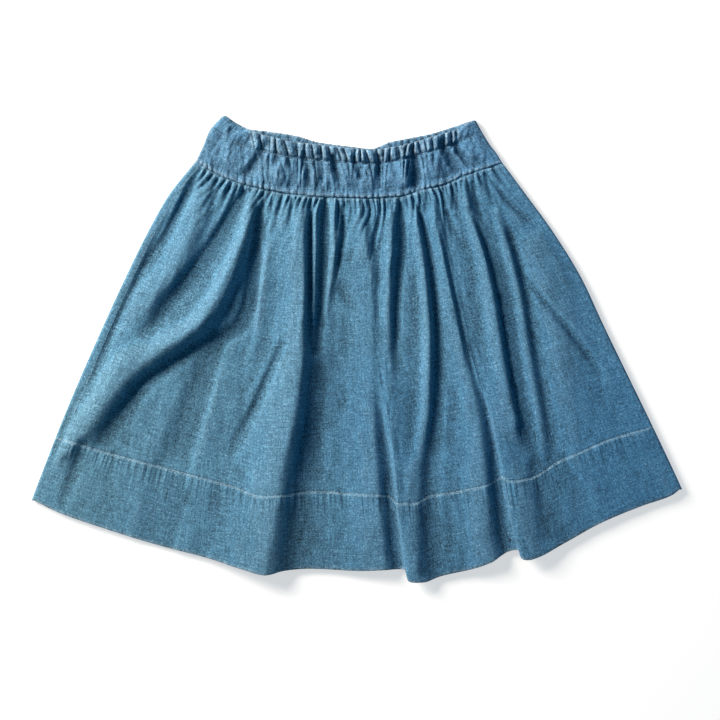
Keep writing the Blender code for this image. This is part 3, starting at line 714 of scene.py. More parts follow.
def smoothed(values, reach, times=2):
    """The values averaged over their neighbours in the grid."""
    for _ in range(times):
        for axis in (0, 1):
            padding = [(reach, reach) if axis == which else (0, 0) for which in (0, 1)]
            sums = np.cumsum(np.pad(values, padding, mode="edge"), axis=axis)
            sums = np.insert(sums, 0, 0, axis=axis)
            width = 2 * reach + 1
            length = values.shape[axis]
            values = (
                np.take(sums, np.arange(width, width + length), axis=axis)
                - np.take(sums, np.arange(length), axis=axis)
            ) / width
    return values


def sampled(grid, at_row, at_column):
    """The grid's values between its rows and columns."""
    row = np.clip(np.floor(at_row).astype(int), 0, grid.shape[0] - 2)
    column = np.clip(np.floor(at_column).astype(int), 0, grid.shape[1] - 2)
    down = (at_row - row)[:, None]
    across = (at_column - column)[:, None]
    top = grid[row, column] * (1 - across) + grid[row, column + 1] * across
    bottom = grid[row + 1, column] * (1 - across) + grid[row + 1, column + 1] * across
    return top * (1 - down) + bottom * down


# The sheets of cloth, each a grid of points with its own flat measure across and down


class Sheet:
    """A grid of cloth: its points, flat measure, marks of wear and a mark of relief for painted shade and
    highlight, and 1 or -1 as it faces up or down.
    """

    def __init__(self, points, across, below, marks, upwards):
        self.points = points
        self.across = across
        self.below = below
        self.marks = marks
        self.upwards = upwards

    def upside_down(self):
        """The same cloth with its rows in the other order."""
        marks = {name: mark[::-1] for name, mark in self.marks.items()}
        return Sheet(self.points[::-1], self.across, self.below[::-1], marks, -self.upwards)

    def normals(self):
        """Normals of the outer face."""
        down, across = np.gradient(self.points, axis=(0, 1))
        normal = np.cross(down, across)
        return self.upwards * normal / np.linalg.norm(normal, axis=2, keepdims=True)

    def with_turned_edge(self, covered, turn_rows):
        """The cloth with its last row turned inside round a narrow fold, and run back under these rows."""
        rows = np.arange(len(self.below) - 2, 0, -1)
        rows = rows[covered[rows]]
        rows = rows[:: max(1, len(rows) // turn_rows)]
        last = self.points[-1]
        normal = self.normals()
        run = last - self.points[-2]
        run /= np.linalg.norm(run, axis=1, keepdims=True)
        bend = [
            last + TURN_UNDER * (math.sin(a) * run - (1 - math.cos(a)) * normal[-1])
            for a in (math.pi / 3, 2 * math.pi / 3)
        ]
        back = [self.points[row] - 2 * TURN_UNDER * normal[row] for row in rows]
        round_bend = [TURN_UNDER, 2 * TURN_UNDER]
        past_bend = 3 * TURN_UNDER + abs(self.below[rows] - self.below[-1])
        turn = np.concatenate([round_bend, past_bend])
        if self.below[-1] < self.below[0]:
            turn = -turn
        marks = {
            name: np.concatenate([mark, mark[-1:], mark[-1:], mark[rows]])
            for name, mark in self.marks.items()
        }
        points = np.concatenate([self.points, bend, back])
        below = np.concatenate([self.below, self.below[-1] + turn])
        return Sheet(points, self.across, below, marks, self.upwards)

    def at(self, below, across):
        """Rows and columns, with their fractions, of these places in the sheet's flat measure."""
        rows = np.interp(below, self.below, np.arange(len(self.below)))
        columns = np.interp(across, self.across, np.arange(len(self.across)))
        return rows, columns


def marked_sheet(x, y, height, across, below, worn, upwards):
    """The sheet of a piece with its side turns, marks of wear, and a mark of its relief for painted shade
    in valleys and painted highlight with wear on crests.
    """
    points = with_side_turns(np.dstack([x, y, height]))
    height = points[:, :, 2]
    relief = height - smoothed(height, 3)
    broad = height - smoothed(height, 12)
    # The crest mark: above zero on crests, painted pale partly as wear and partly as highlight, and below
    # zero in valleys, where shade is painted
    crest = np.clip(relief / CREST_RELIEF + broad / BROAD_RELIEF, -1, 1)
    sides = TURN_STEPS + 1
    worn = np.pad(worn, ((0, 0), (sides, sides)), mode="edge")
    return Sheet(points, turned_across(across), below, {"crest": upwards * crest, "worn": worn}, upwards)


def turned_across(across):
    """Flat measure across the cloth, with the side turns' own at both ends."""
    inwards, away = side_turn()
    outline = np.column_stack([TURN_RADIUS - inwards, away])
    outline = np.vstack([outline, [0, TURN_STRAIGHT + TURN_RADIUS]])
    lengths = np.linalg.norm(np.diff(outline, axis=0), axis=1)
    from_panel = np.cumsum(lengths[::-1])[::-1]
    return np.concatenate([across[0] - from_panel, across, across[-1] + from_panel[::-1]])


def cloth_steps():
    """Steps of cloth across the front panel, twice as close in the pleats' lips."""
    fine = np.linspace(0, CLOTH_STEPS, CLOTH_STEPS * STEP_PARTS + 1)
    density = np.ones(fine.shape)
    for lip in LIPS:
        density += abs(fine - lip.step) < LIP_STEPS
    total = np.concatenate([[0], np.cumsum((density[1:] + density[:-1]) / 2)])
    return np.interp(np.linspace(0, total[-1], PANEL_COLUMNS + 1), total, fine)


def grown(lip, y):
    """How far a lip has folded over at this y, from 0 at its top to 1."""
    return ease((lip.top - y) / (lip.top - lip.full))


def front_panel_plan(below, steps):
    """x and y of the front panel's cloth before its pleats are folded over."""
    stops = [0]
    hem_stops = [HEM_FRONT[0][0] + TURN_RADIUS]
    for lip in LIPS:
        stops += [lip.step - LIP_STEPS, lip.step + LIP_STEPS]
        hem_stops += [lip.hem_x - LIP_HALF_WIDTH, lip.hem_x + LIP_HALF_WIDTH]
    stops.append(CLOTH_STEPS)
    hem_stops.append(HEM_FRONT[-1][0] - TURN_RADIUS)
    top_x = evenly(YOKE_SEAM, steps / CLOTH_STEPS)
    hem_x = np.interp(steps, stops, hem_stops)
    x, y = hung_between(top_x, hem_x, HEM_FRONT, HEM_LINE_FRONT, below)
    joined = ease((below / PANEL_LENGTH)[:, None] / LIP_LINE_START)[:, 0]
    targets = [panel_line("left", y[:, 0]) + TURN_RADIUS]
    for lip in LIPS:
        lip_y = y[:, closest(steps, lip.step)]
        centre = panel_line(lip.line, lip_y) + LIP_EDGE * grown(lip, lip_y)
        for side in (-1, 1):
            straight = x[:, closest(steps, lip.step + side * LIP_STEPS)]
            targets.append(straight + (centre + side * LIP_HALF_WIDTH - straight) * joined)
    targets.append(panel_line("right", y[:, -1]) - TURN_RADIUS)
    return bent_to_lines(x, stops, targets, steps), y


def hung_between(top_x, hem_x, hem, hem_line, below):
    """x and y of cloth that runs straight from the yoke seam to the hem, over the hem's stitches."""
    top_y = through(YOKE_SEAM, top_x)
    hem_y = through(hem, hem_x)
    line_share = np.full(top_x.shape, HEM_LINE_AT / PANEL_LENGTH)
    for _ in range(LINE_TRIES):
        line_y = through(hem_line, top_x + (hem_x - top_x) * line_share)
        line_share = (top_y - line_y) / (top_y - hem_y)
    down = below[:, None]
    share = np.where(
        down < HEM_LINE_AT,
        down / HEM_LINE_AT * line_share,
        line_share + (1 - line_share) * (down - HEM_LINE_AT) / HEM_DEPTH,
    )
    return top_x + (hem_x - top_x) * share, top_y + (hem_y - top_y) * share


def lip_swing(lip, steps, y):
    """Sideways shift of the cloth beside a lip, which folds it over itself."""
    across = np.clip((steps - lip.step) / LIP_STEPS, -1, 1)
    return -LIP_SWING * grown(lip, y) * across * (1 - across**2) ** 2


def seam_gathers(top_x, below, seed):
    """The gathers under the yoke seam: tight ones that fade soon, and wider ones that run on."""
    leaning = top_x + GATHER_LEAN * patches(top_x / 11, below / 30, seed) * below
    tight, fine, wide = (
        uneven_gathers(leaning, below, kind, seed)
        for kind in (TIGHT_GATHERS, FINE_GATHERS, WIDE_GATHERS)
    )
    return (tight + fine) * ease((below + 1) / 3) + wide * ease(below / 12)


def hem_relief(across, below, seed):
    """The doubled hem's step, the pull of its stitches and the short puckers that they leave."""
    down = below - HEM_LINE_AT
    step = HEM_STEP * ease((down + 0.8) / 1.6)
    groove = -HEM_GROOVE * line_mark(down, 0, HEM_GROOVE_WIDTH)
    under = uneven_gathers(across, np.maximum(down, 0), HEM_PUCKERS, seed)
    over = uneven_gathers(across, np.maximum(-down, 0), HEM_PUCKERS_ABOVE, seed)
    return step + groove + np.where(down > 0, under, 0.7 * over)


def layered(layers, across, below, seed):
    """Each layer with its own patches of unevenness."""
    for number, layer in enumerate(layers):
        leaning = across / layer.width + below / layer.lean
        yield layer, patches(leaning, below / layer.length, seed + number)


def crumple(across, below, seed, rise):
    """The soft unevenness of washed cloth, longer down the cloth than across it."""
    layers = layered(CRUMPLE_LAYERS, across, below, seed)
    return rise * sum(layer.share * uneven for layer, uneven in layers)


def creased(across, below, seed, rise):
    """Fine sharp creases that wander over the cloth, each where broad unevenness crosses level."""
    layers = layered(CREASE_LAYERS, across, below, seed)
    return rise * sum(layer.share * np.exp(-abs(uneven) * layer.narrow) for layer, uneven in layers)


def tucked(height, down, tuck_height):
    """The height, drawn to that of the tuck above the panel's seam."""
    return tuck_height + (height - tuck_height) * ease((down + TUCK_FROM) / TUCK_FADE)


def line_mark(down, at, width):
    return np.exp(-(((down - at) / width) ** 2))


def worn_lines(lines, down):
    return sum(line.share * line_mark(down, line.at, line.width) for line in lines)


def front_panel_sheet():
    below = np.concatenate([[-SEAM_TUCK, -SEAM_TUCK / 2], row_places(PANEL_STOPS)])
    steps = cloth_steps()
    x, y = front_panel_plan(below, steps)
    down = below[:, None] + 0 * x
    across = steps * PANEL_CUT / CLOTH_STEPS
    flat = across[None, :] + 0 * x
    top_x = evenly(YOKE_SEAM, steps / CLOTH_STEPS)[None, :] + 0 * x
    loosened = between((SEAM_HOLD, 1), ease(down / SEAM_FADE))
    height = PANEL_HEIGHT + folds_height(PANEL_FOLDS, x, y) * loosened
    height += folds_height(PANEL_CREASES, x, y) * ease((down + SEAM_TUCK) / CREASE_FADE)
    height += seam_gathers(top_x, down, FRONT_GATHERS_SEED)
    height += crumple(flat, down, FRONT_CRUMPLE_SEED, PANEL_CRUMPLE) * ease(down / CRUMPLE_FADE)
    in_hem = ease((down - HEM_LINE_AT + HEM_FADE) / HEM_FADE)
    height = keep_above(height, between((LOWEST_VALLEY, LOWEST_HEM_VALLEY), in_hem))
    height += hem_relief(flat, down, FRONT_HEM_SEED)
    height = EDGE_HEIGHT + (height - EDGE_HEIGHT) * side_blend(x)
    height = tucked(height, down, TUCK_HEIGHT)
    x = x + sum(lip_swing(lip, steps, y) for lip in LIPS)
    sheet = marked_sheet(x, y, height, across, below, worn_lines(FRONT_PANEL_WEAR, down), 1)
    return sheet.with_turned_edge(below > HEM_LINE_AT - 1, HEM_TURN_ROWS)


def yoke_plan(waist, below, shares):
    """x and y of a yoke, front or back, whose sides follow the yoke's curved side edges."""
    top_x = evenly(waist, shares)
    low_x = evenly(YOKE_SEAM, shares)
    down = (below / YOKE_DEPTH)[:, None]
    x = top_x + (low_x - top_x) * down
    top_y = through(waist, top_x)
    y = top_y + (through(YOKE_SEAM, low_x) - top_y) * down
    sides = (through(YOKE_LEFT, y[:, 0]), through(YOKE_RIGHT, y[:, -1]))
    return bent_to_sides(x, sides, shares), y


def leant(x, below, seed):
    """x, shifted so that the casing's pinches lean a little, each its own way."""
    return x + PINCH_LEAN * patches(x / 9, 0 * x, seed) * (below - CASING_DEPTH / 2)


def pinch_edges(x, below, seed):
    """1 on the worn edges beside each pinch of the casing, 0 away from them."""
    away = abs(leant(x, below, seed)[:, :, None] - np.array(PINCHES)).min(axis=2)
    in_casing = ease(below / 2) * (1 - ease((below - CASING_DEPTH + 2) / 2))
    return in_casing * line_mark(away, PINCH_EDGE, 0.55)


def casing_relief(x, below, seed, rise):
    """The puffs of the elastic casing between their pinches, and the small folds below them."""
    leaning = leant(x, below, seed)
    under = below - CASING_DEPTH
    puffs = uneven_gathers(leaning, below, CASING_PUFFS, seed, PINCHES)
    folds = uneven_gathers(leaning, np.maximum(under, 0), CASING_FOLDS, seed, PINCHES)
    creases = uneven_gathers(leaning, below, CASING_CREASES, seed)
    small = 0.3 * patches(x / 2.6, below / 3.2, seed + 6)
    in_casing = ease(below / 1.6) * (1 - ease((under + 2.2) / 2.2))
    puckered = ease((x - PINCHES[0] + 3) / 6) * ease((PINCHES[-1] + 3 - x) / 6)
    groove = -CASING_GROOVE * line_mark(below, CASING_DEPTH, 0.8) * (0.3 + 0.7 * puckered)
    return rise * (((puffs + creases + small) * in_casing + folds * ease(under / 2)) * puckered + groove)


def front_yoke_sheet():
    below = row_places(YOKE_STOPS)
    shares = np.linspace(0, 1, YOKE_COLUMNS + 1)
    x, y = yoke_plan(WAIST_FRONT, below, shares)
    down = below[:, None] + 0 * x
    relief = casing_relief(x, down, FRONT_CASING_SEED, 1.0)
    held = between((YOKE_HELD_LEAST, 1), ease((YOKE_DEPTH - YOKE_HELD_FROM - down) / YOKE_HELD_FADE))
    height = through(YOKE_PROFILE, down) + relief
    puckers = uneven_gathers(x, YOKE_DEPTH - down, YOKE_PUCKERS, YOKE_PUCKERS_SEED)
    crumpled = crumple(x, down, YOKE_CRUMPLE_SEED, YOKE_CRUMPLE)
    creases = creased(x, down, YOKE_CREASES_SEED, YOKE_CREASES)
    height += YOKE_PUCKER_RISE * puckers
    height += (folds_height(YOKE_FOLDS, x, y) + crumpled) * held
    height += creases * held * ease((down - CASING_DEPTH) / 3)
    height = keep_above(height, LOWEST_VALLEY)
    height = EDGE_HEIGHT + (height - EDGE_HEIGHT) * side_blend(x)
    height[-2:] -= np.array(YOKE_SEAM_SINK)[:, None]
    worn = worn_lines(FRONT_YOKE_WEAR, down) + PINCH_WEAR * pinch_edges(x, down, FRONT_CASING_SEED)
    return with_casing_turn(x, y, relief, height, shares, below, worn, 1)


def with_casing_turn(x, y, relief, height, shares, below, worn, upwards):
    """A yoke's sheet, its waist scalloped and its top edge turned inside as the casing's lining."""
    y = y + WAIST_SCALLOP * relief * (1 - ease(below[:, None] / 4))
    sheet = marked_sheet(x, y, height, YOKE_CUT * shares, below, worn, upwards).upside_down()
    return sheet.with_turned_edge(sheet.below < CASING_DEPTH + 1, CASING_TURN_ROWS).upside_down()


def back_yoke_sheet():
    below = row_places(BACK_YOKE_STOPS)
    shares = np.linspace(0, 1, BACK_YOKE_COLUMNS + 1)
    x, y = yoke_plan(WAIST_BACK, below, shares)
    down = below[:, None] + 0 * x
    relief = casing_relief(x, down, BACK_CASING_SEED, BACK_CASING_SHARE)
    rest, most = BACK_YOKE_RISE
    raised = np.clip(rest - relief + crumple(x, down, BACK_YOKE_SEED, BACK_CRUMPLE), 0, most)
    height = BACK_LOWEST + raised * side_blend(x)
    return with_casing_turn(x, y, relief, height, shares, below, worn_lines(BACK_YOKE_WEAR, down), -1)


def back_panel_sheet():
    below = np.concatenate([[-SEAM_TUCK], row_places(BACK_PANEL_STOPS)])
    shares = np.linspace(0, 1, BACK_PANEL_COLUMNS + 1)
    top_x = evenly(YOKE_SEAM, shares)
    x, y = hung_between(top_x, evenly(HEM_BACK, shares), HEM_BACK, HEM_LINE_BACK, below)
    x = bent_to_sides(x, (panel_line("left", y[:, 0]), panel_line("right", y[:, -1])), shares)
    down = below[:, None] + 0 * x
    across = PANEL_CUT * shares
    flat = across[None, :] + 0 * x
    relief = BACK_GATHER_SHARE * seam_gathers(top_x[None, :] + 0 * x, down, BACK_GATHERS_SEED)
    relief += folds_height(BACK_FOLDS, x, y) + crumple(flat, down, BACK_PANEL_SEED, BACK_CRUMPLE)
    relief -= BACK_HEM_SHARE * hem_relief(flat, down, BACK_HEM_SEED)
    rest, most = BACK_PANEL_RISE
    height = BACK_LOWEST + np.clip(rest + relief, 0, most) * side_blend(x)
    height = tucked(height, down, BACK_TUCK_HEIGHT)
    sheet = marked_sheet(x, y, height, across, below, worn_lines(BACK_PANEL_WEAR, down), -1)
    return sheet.with_turned_edge(below > HEM_LINE_AT - 1, BACK_HEM_TURN_ROWS)


# From a sheet of points to a piece of cloth


def new_object(name, points, faces, material):
    """An object with smooth faces from points in millimetres."""
    mesh = bpy.data.meshes.new(name)
    mesh.from_pydata((points.reshape(-1, 3) * MM).tolist(), [], faces)
    mesh.polygons.foreach_set("use_smooth", np.ones(len(faces), bool))
    mesh.materials.append(material)
    obj = bpy.data.objects.new(name, mesh)
    bpy.context.scene.collection.objects.link(obj)
    return obj


def cloth_piece(name, sheet, material):
    """The sheet as a thin closed piece of cloth, its outer face on the sheet's points."""
    rows, columns = sheet.points.shape[:2]
    number = np.arange(rows * columns).reshape(rows, columns)
    corners = [number[:-1, :-1], number[1:, :-1], number[1:, 1:], number[:-1, 1:]]
    if sheet.upwards < 0:
        corners.reverse()
    faces = np.stack(corners, axis=-1).reshape(-1, 4)
    obj = new_object(name, sheet.points, faces.tolist(), material)
    across = np.tile(sheet.across, rows) * MM
    below = np.repeat(sheet.below, columns) * MM
    layer = obj.data.uv_layers.new(name="cloth")
    layer.uv.foreach_set("vector", np.column_stack([across, -below])[faces.reshape(-1)].ravel())
    for mark, values in sheet.marks.items():
        attribute = obj.data.attributes.new(mark, "FLOAT", "POINT")
        attribute.data.foreach_set("value", values.ravel())
    bpy.ops.object.select_all(action="DESELECT")
    obj.select_set(True)
    bpy.context.view_layer.objects.active = obj
    thickness = obj.modifiers.new("thickness", "SOLIDIFY")
    thickness.thickness = CLOTH_THICKNESS * MM
    thickness.offset = -1
    bpy.ops.object.modifier_apply(modifier=thickness.name)
    return obj


def hand_over(obj, node, slot):
    """Attaches the cloth to the skirt's body and hides the solid that it stands for."""
    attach(obj, BODY)
    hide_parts(node)


# Sewing


def stitch_shape():
    """One stitch, from a sphere, as points in millimetres and faces."""
    bpy.ops.object.select_all(action="DESELECT")
    bpy.ops.mesh.primitive_uv_sphere_add(segments=STITCH_ROUND, ring_count=STITCH_RINGS, radius=0.5)
    sphere = bpy.context.active_object
    bpy.ops.transform.resize(value=STITCH_SIZE)
    bpy.ops.object.transform_apply(location=False, rotation=False, scale=True)
    points = np.array([vertex.co[:] for vertex in sphere.data.vertices])
    faces = [list(polygon.vertices) for polygon in sphere.data.polygons]
    bpy.data.objects.remove(sphere)
    return points, faces


def along_line(sheet, below, across):
    """Middle, direction, side and normal of stitches an even step apart along a line on the cloth."""
    below, across = np.broadcast_arrays(np.asarray(below, float), np.asarray(across, float))
    rows, columns = sheet.at(below, across)
    path = sampled(sheet.points, rows, columns)
    normals = sampled(sheet.normals(), rows, columns)
    travelled = np.concatenate([[0], np.cumsum(np.linalg.norm(np.diff(path, axis=0), axis=1))])

    def on(values, spots):
        return np.column_stack([np.interp(spots, travelled, part) for part in values.T])

    spots = np.arange(STITCH_PITCH, travelled[-1] - STITCH_PITCH, STITCH_PITCH)
    middle = on(path, spots)
    direction = on(path, spots + STITCH_SIZE[0] / 2) - middle
    direction /= np.linalg.norm(direction, axis=1, keepdims=True)
    side = np.cross(on(normals, spots), direction)
    side /= np.linalg.norm(side, axis=1, keepdims=True)
    normal = np.cross(direction, side)
    return middle + STITCH_RAISED * normal, direction, side, normal


def sewing_piece(name, seams):
    """All stitches of some seams as one piece."""
    material = bpy.data.materials.get("worn_thread") or thread_finish()
    points, faces = stitch_shape()
    middle, direction, side, normal = (np.concatenate(parts) for parts in zip(*seams))
    spread = (
        middle[:, None]
        + points[None, :, :1] * direction[:, None]
        + points[None, :, 1:2] * side[:, None]
        + points[None, :, 2:] * normal[:, None]
    )
    every = [[corner + i * len(points) for corner in face] for i in range(len(middle)) for face in faces]
    obj = new_object(name, spread, every, material)
    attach(obj, BODY)
    return obj


def panel_seams(sheet, cut):
    """Stitches of the hem, in two rows, and of the left side seam."""
    across = np.linspace(0, cut, 900)
    down = np.linspace(2, PANEL_LENGTH - 2, 500)
    line = HEM_LINE_AT + STITCH_WANDER * patches(across / 24, 0 * across, STITCH_SEED)
    return [
        along_line(sheet, line, across),
        along_line(sheet, line + HEM_ROWS_APART, across),
        along_line(sheet, down, SIDE_SEAM_AT),
    ]


def yoke_seams(sheet, cut):
    """Stitches of the casing and the topstitching above the yoke seam."""
    across = np.linspace(0, cut, 700)
    return [along_line(sheet, below, across) for below in (CASING_DEPTH, TOPSTITCH_AT)]


# What both panels share, and both yokes
Kind = namedtuple("Kind", "slot colour depth hem_from seams")
PANEL = Kind("panel_chambray", "panel_dye", 1.0, HEM_LINE_AT, panel_seams)
YOKE = Kind("yoke_chambray", "yoke_dye", YOKE_DYE_DEPTH, 0, yoke_seams)


# Finishes


class Shade:
    """The output of a shader node, with arithmetic that adds the nodes for it."""

    def __init__(self, graph, socket):
        self.graph = graph
        self.socket = socket

    def math(self, operation, *values, clamp=False):
        settings = {"operation": operation, "use_clamp": clamp}
        return self.graph.node("ShaderNodeMath", settings, dict(enumerate(values)))

    def __add__(self, other):
        return self.math("ADD", self, other)

    def __sub__(self, other):
        return self.math("SUBTRACT", self, other)

    def __rsub__(self, other):
        return self.math("SUBTRACT", other, self)

    def __mul__(self, other):
        return self.math("MULTIPLY", self, other)

    __radd__ = __add__
    __rmul__ = __mul__

    def clamped(self):
        return self.math("MULTIPLY", self, 1.0, clamp=True)

    def rising(self, low, high):
        """0 below low, 1 above high, and a soft step between."""
        settings = {"interpolation_type": "SMOOTHSTEP"}
        inputs = {"Value": self, "From Min": low, "From Max": high}
        return self.graph.node("ShaderNodeMapRange", settings, inputs)


class Graph:
    """A material's nodes, built through one method."""

    def __init__(self, name):
        self.material = bpy.data.materials.new(name)
        self.material.use_nodes = True
        self.tree = self.material.node_tree
        self.tree.nodes.clear()

    def node(self, kind, settings, inputs, output=0):
        made = self.tree.nodes.new(kind)
        for name, value in settings.items():
            setattr(made, name, value)
        for key, value in inputs.items():
            if isinstance(value, Shade):
                self.tree.links.new(value.socket, made.inputs[key])
            else:
                made.inputs[key].default_value = value
        return Shade(self, made.outputs[output]) if made.outputs else None

    def attribute(self, name):
        return self.node("ShaderNodeAttribute", {"attribute_name": name}, {}, "Fac")

    def scaled(self, vector, factors):
        inputs = {0: vector, 1: factors}
        return self.node("ShaderNodeVectorMath", {"operation": "MULTIPLY"}, inputs)

    def noise(self, vector, factors, detail=2.0):
        """Noise between 0 and 1 whose features are about one over these factors wide."""
        inputs = {"Vector": self.scaled(vector, factors), "Scale": 1.0, "Detail": detail}
        return self.node("ShaderNodeTexNoise", {}, inputs, "Fac")

    def mix(self, share, first, second):
        settings = {"data_type": "RGBA", "clamp_factor": True}
        inputs = {"Factor": share, 6: first, 7: second}
        return self.node("ShaderNodeMix", settings, inputs, 2)

    def brightened(self, colour, factor):
        """The colour times a varying factor."""
        vector = self.node("ShaderNodeCombineXYZ", {}, {0: factor, 1: factor, 2: factor})
        return self.scaled(colour, vector)

    def close(self, surface):
        self.node("ShaderNodeOutputMaterial", {}, {"Surface": surface})


def tinted(dye, tint):
    """A dye's colour with a tint's factors and what it adds."""
    return (*(part * factor + added for part, factor, added in zip(dye, *tint)), 1)


def chambray(name, kind):
    """Washed chambray: flecked slubby threads, paler on worn lines, paler on crests partly by wear and
    partly as painted highlight, with painted shade in valleys.
    """
    graph = Graph(name)
    cloth = graph.node("ShaderNodeUVMap", {"uv_map": "cloth"}, {})
    place = graph.node("ShaderNodeTexCoord", {}, {}, "Object")
    noises = {
        key: graph.noise(cloth if row.threads else place, row.scale, row.detail)
        for key, row in NOISES.items()
    }
    fleck = noises["fleck"]
    crest = graph.attribute("crest")
    worn = graph.attribute("worn").clamped()
    tone = sum(((noises[key] - 0.5) * row.tone for key, row in NOISES.items() if row.tone), 1.0)
    # Painted shade, darker where the crest mark sinks below zero in the valleys
    tone = tone - (crest * -1.0).clamped() * VALLEY_PAINTED_SHADE
    dye = [part * kind.depth for part in getattr(bpy.context.scene.skirt, kind.colour)]
    pale = tinted(dye, PALE_DYE)
    across = graph.node("ShaderNodeSeparateXYZ", {}, {0: place}, "X")
    rightwards = (across * 1.6 + 0.5 + (noises["wide"] - 0.5) * 0.8).clamped()
    dyed = graph.mix(rightwards, tinted(dye, WARM_DYE), tinted(dye, COOL_DYE))
    threads = (fleck - 0.57) * 5.0 + (noises["crosswise"] - 0.5) * 1.6
    whitened = graph.mix(threads.clamped() * WHITENING, dyed, pale)
    # Paler on the worn lines, and on crests partly as wear and partly as painted highlight
    wear_and_painted_highlight = (crest - 0.3).clamped() * 0.12 + worn * (0.7 + (noises["grain"] - 0.5) * 2.6)
    colour_with_wear_and_highlight = graph.mix(wear_and_painted_highlight.clamped(), whitened, pale)
    shaded = graph.brightened(colour_with_wear_and_highlight, tone)
    relief = sum(noises[key] * row.relief for key, row in NOISES.items() if row.relief)

    def puckers(scale, shown, height):
        return (graph.noise(cloth, scale, 1.0) - 0.5) * shown * height

    if kind.hem_from:
        below = graph.node("ShaderNodeSeparateXYZ", {}, {0: cloth}, "Y") * -1.0
        past_line = below - kind.hem_from * MM
        doubled = past_line.rising(0, 1.5 * MM)
        beside_line = doubled * (1.0 - past_line.rising(*(MM * part for part in HEM_PUCKER_FADE)))
        near_seam = 1.0 - below.rising(*(MM * part for part in SEAM_PUCKER_FADE))
        fine = puckers(HEM_PUCKER_SCALE, beside_line, HEM_PUCKERING)
        fine = fine + puckers(SEAM_PUCKER_SCALE, near_seam, SEAM_PUCKERING)
        changed = 1.0 - doubled * HEM_DARKENING
    else:
        fine = (graph.noise(cloth, YOKE_CRINKLE_SCALE, 2.0) - 0.5) * YOKE_CRINKLING
        changed = YOKE_TONE + (graph.noise(cloth, YOKE_BLOTCH_SCALE, 3.0) - 0.5) * YOKE_BLOTCHES
    # The puckers' and crinkles' heights also paint shade into their hollows and highlight onto their tops
    shaded = graph.brightened(shaded, changed + fine * PUCKER_PAINTED_SHADE)
    shader = {
        "Base Color": shaded, "Roughness": 0.92, "Specular IOR Level": 0.2,
        "Sheen Weight": 0.12, "Sheen Roughness": 0.5,
        "Normal": graph.node("ShaderNodeBump", {}, {**BUMP, "Height": relief + fine}),
    }
    graph.close(graph.node("ShaderNodeBsdfPrincipled", {}, shader))
    return graph.material


def thread_finish():
    """The pale worn thread of the seams."""
    graph = Graph("worn_thread")
    place = graph.node("ShaderNodeTexCoord", {}, {}, "Object")
    patchy = graph.noise(place, THREAD_PATCH_SCALE)
    colour = graph.mix(patchy.rising(0.35, 0.65), *THREAD_COLOURS)
    shader = {"Base Color": colour, "Roughness": 0.85, "Specular IOR Level": 0.2}
    graph.close(graph.node("ShaderNodeBsdfPrincipled", {}, shader))
    return graph.material


def plain_floor(brightness, glow):
    graph = Graph("pale_floor")
    white = (*(brightness * part for part in FLOOR_COLOUR), 1)
    shader = {"Base Color": white, "Roughness": 1.0, "Emission Color": white, "Emission Strength": glow}
    graph.close(graph.node("ShaderNodeBsdfPrincipled", {}, shader))
    return graph.material


# The layout that a user sees: settings, one operator for each piece, and a panel


def dye_setting(name, description, slot):
    """A colour that a user may change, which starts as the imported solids' own."""
    return bpy.props.FloatVectorProperty(
        name=name, description=description, default=SLOT_COLOURS[slot], subtype="COLOR", min=0.0, max=1.0
    )


class SkirtSettings(bpy.types.PropertyGroup):
    """Dyes of the cloth, and light and floor of the view."""

    panel_dye: dye_setting("Panel dye", "Colour of the panels' cloth before wear", "panel_chambray")
    yoke_dye: dye_setting("Yoke dye", "Colour of the yokes' cloth before wear", "yoke_chambray")
    key_power: bpy.props.FloatProperty(
        name="Key power", description="Power of the light from the upper left",
        default=70.0, min=0.0, unit="POWER",
    )
    fill: bpy.props.FloatProperty(
        name="Fill", description="Strength of the white light from all round", default=0.22, min=0.0
    )
    floor_brightness: bpy.props.FloatProperty(
        name="Floor brightness", description="How white the floor is",
        default=0.6, min=0.0, max=1.0, subtype="FACTOR",
    )
    floor_glow: bpy.props.FloatProperty(
        name="Floor glow", description="Light that the floor gives off, so that it shows white",
        default=1.0, min=0.0,
    )


def made(name):
    """A piece that an earlier operator made."""
    if name not in bpy.data.objects:
        raise RuntimeError(f"{name} hasn't been made yet")
    return bpy.data.objects[name]


def lay(name, node, kind, sheet, cut):
    """Lays one piece of cloth with its sewing."""
    side = "front" if sheet.upwards > 0 else "back"
    cloth = cloth_piece(name, sheet, chambray(f"{kind.slot}_{side}", kind))
    lines = sewing_piece(name.removesuffix("_cloth") + "_stitches", kind.seams(sheet, cut[0]))
    hand_over(cloth, node, kind.slot)
    return {"FINISHED"}


class SKIRT_OT_back_panel(bpy.types.Operator):
    """Lays the back panel, its outer face on the floor"""

    bl_idname = "skirt.back_panel"
    bl_label = "Back Panel"

    def execute(self, context):
        cut = (BACK_PANEL_CUT, PANEL_CUT_LENGTH)
        return lay("panel_back", "skirt_back", PANEL, back_panel_sheet(), cut)


class SKIRT_OT_back_yoke(bpy.types.Operator):
    """Lays the back yoke with its elastic casing, its outer face on the floor"""

    bl_idname = "skirt.back_yoke"
    bl_label = "Back Yoke"

    def execute(self, context):
        cut = (YOKE_CUT, YOKE_CUT_LENGTH)
        return lay("yoke_back_cloth", "yoke_back", YOKE, back_yoke_sheet(), cut)


class SKIRT_OT_front_panel(bpy.types.Operator):
    """Lays the gathered front panel over the back one"""

    bl_idname = "skirt.front_panel"
    bl_label = "Front Panel"

    def execute(self, context):
        cut = (PANEL_CUT, PANEL_CUT_LENGTH)
        under = made("panel_back")
        return lay("panel_front", "skirt_front", PANEL, front_panel_sheet(), cut)


class SKIRT_OT_front_yoke(bpy.types.Operator):
    """Lays the front yoke with its elastic casing over the back one"""

    bl_idname = "skirt.front_yoke"
    bl_label = "Front Yoke"

    def execute(self, context):
        cut = (YOKE_CUT, YOKE_CUT_LENGTH)
        under = made("yoke_back_cloth")
        return lay("yoke_front_cloth", "yoke_front", YOKE, front_yoke_sheet(), cut)


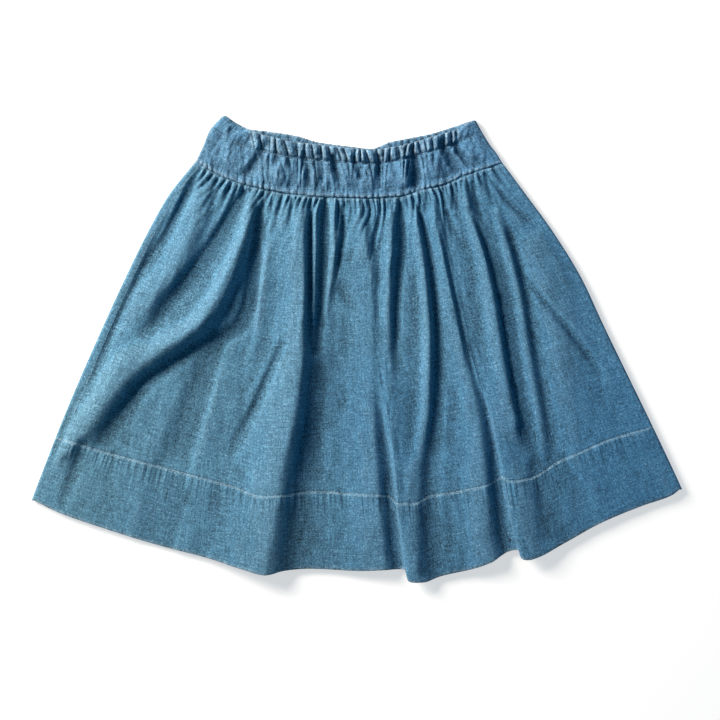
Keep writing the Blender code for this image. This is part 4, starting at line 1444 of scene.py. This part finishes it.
class SKIRT_OT_stage(bpy.types.Operator):
    """Sets the pale floor, the soft light and the camera that looks straight down"""

    bl_idname = "skirt.stage"
    bl_label = "Stage"

    def execute(self, context):
        settings = context.scene.skirt
        bpy.ops.object.select_all(action="DESELECT")
        bpy.ops.mesh.primitive_plane_add(size=FLOOR_SIZE)
        floor = context.active_object
        floor.name = "floor"
        floor.data.materials.append(plain_floor(settings.floor_brightness, settings.floor_glow))
        floor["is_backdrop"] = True
        bpy.ops.object.light_add(type="AREA", location=KEY_AT)
        key = context.active_object
        key.data.size = KEY_SIZE
        key.data.energy = settings.key_power
        key.data.color = KEY_COLOUR
        aim(key)
        world = bpy.data.worlds.new("fill")
        context.scene.world = world
        world.use_nodes = True
        background = world.node_tree.nodes["Background"]
        background.inputs["Color"].default_value = FILL_COLOUR
        background.inputs["Strength"].default_value = settings.fill
        bpy.ops.object.camera_add(location=CAMERA_AT, rotation=(0, 0, 0))
        camera = context.active_object
        camera.data.lens = CAMERA_LENS
        context.scene.camera = camera
        context.scene.view_settings.view_transform = "Standard"
        return {"FINISHED"}


def aim(obj):
    """Turns a light so that it looks at the middle of the skirt."""
    obj.rotation_mode = "QUATERNION"
    obj.rotation_quaternion = obj.location.to_track_quat("Z", "Y")


class SKIRT_PT_pieces(bpy.types.Panel):
    """Lists the skirt's pieces and its stage."""

    bl_label = "Skirt"
    bl_idname = "SKIRT_PT_pieces"
    bl_space_type = "VIEW_3D"
    bl_region_type = "UI"
    bl_category = "Skirt"

    def draw(self, context):
        for operator in OPERATORS:
            self.layout.operator(operator.bl_idname)
        for name in SkirtSettings.__annotations__:
            self.layout.prop(context.scene.skirt, name)


OPERATORS = (
    SKIRT_OT_stage, SKIRT_OT_back_panel, SKIRT_OT_back_yoke, SKIRT_OT_front_panel, SKIRT_OT_front_yoke,
)
CLASSES = (SkirtSettings, *OPERATORS, SKIRT_PT_pieces)


def register():
    for item in CLASSES:
        bpy.utils.register_class(item)
    bpy.types.Scene.skirt = bpy.props.PointerProperty(type=SkirtSettings)


def unregister():
    del bpy.types.Scene.skirt
    for item in reversed(CLASSES):
        bpy.utils.unregister_class(item)


def main():
    register()
    bpy.ops.skirt.stage()
    bpy.ops.skirt.back_panel()
    bpy.ops.skirt.back_yoke()
    bpy.ops.skirt.front_panel()
    bpy.ops.skirt.front_yoke()
    sizes = {"cad": CAD_BOX, "visual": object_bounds()}
    sizes = {name: [list(corner) for corner in box] for name, box in sizes.items()}


if __name__ == "__main__":
    main()
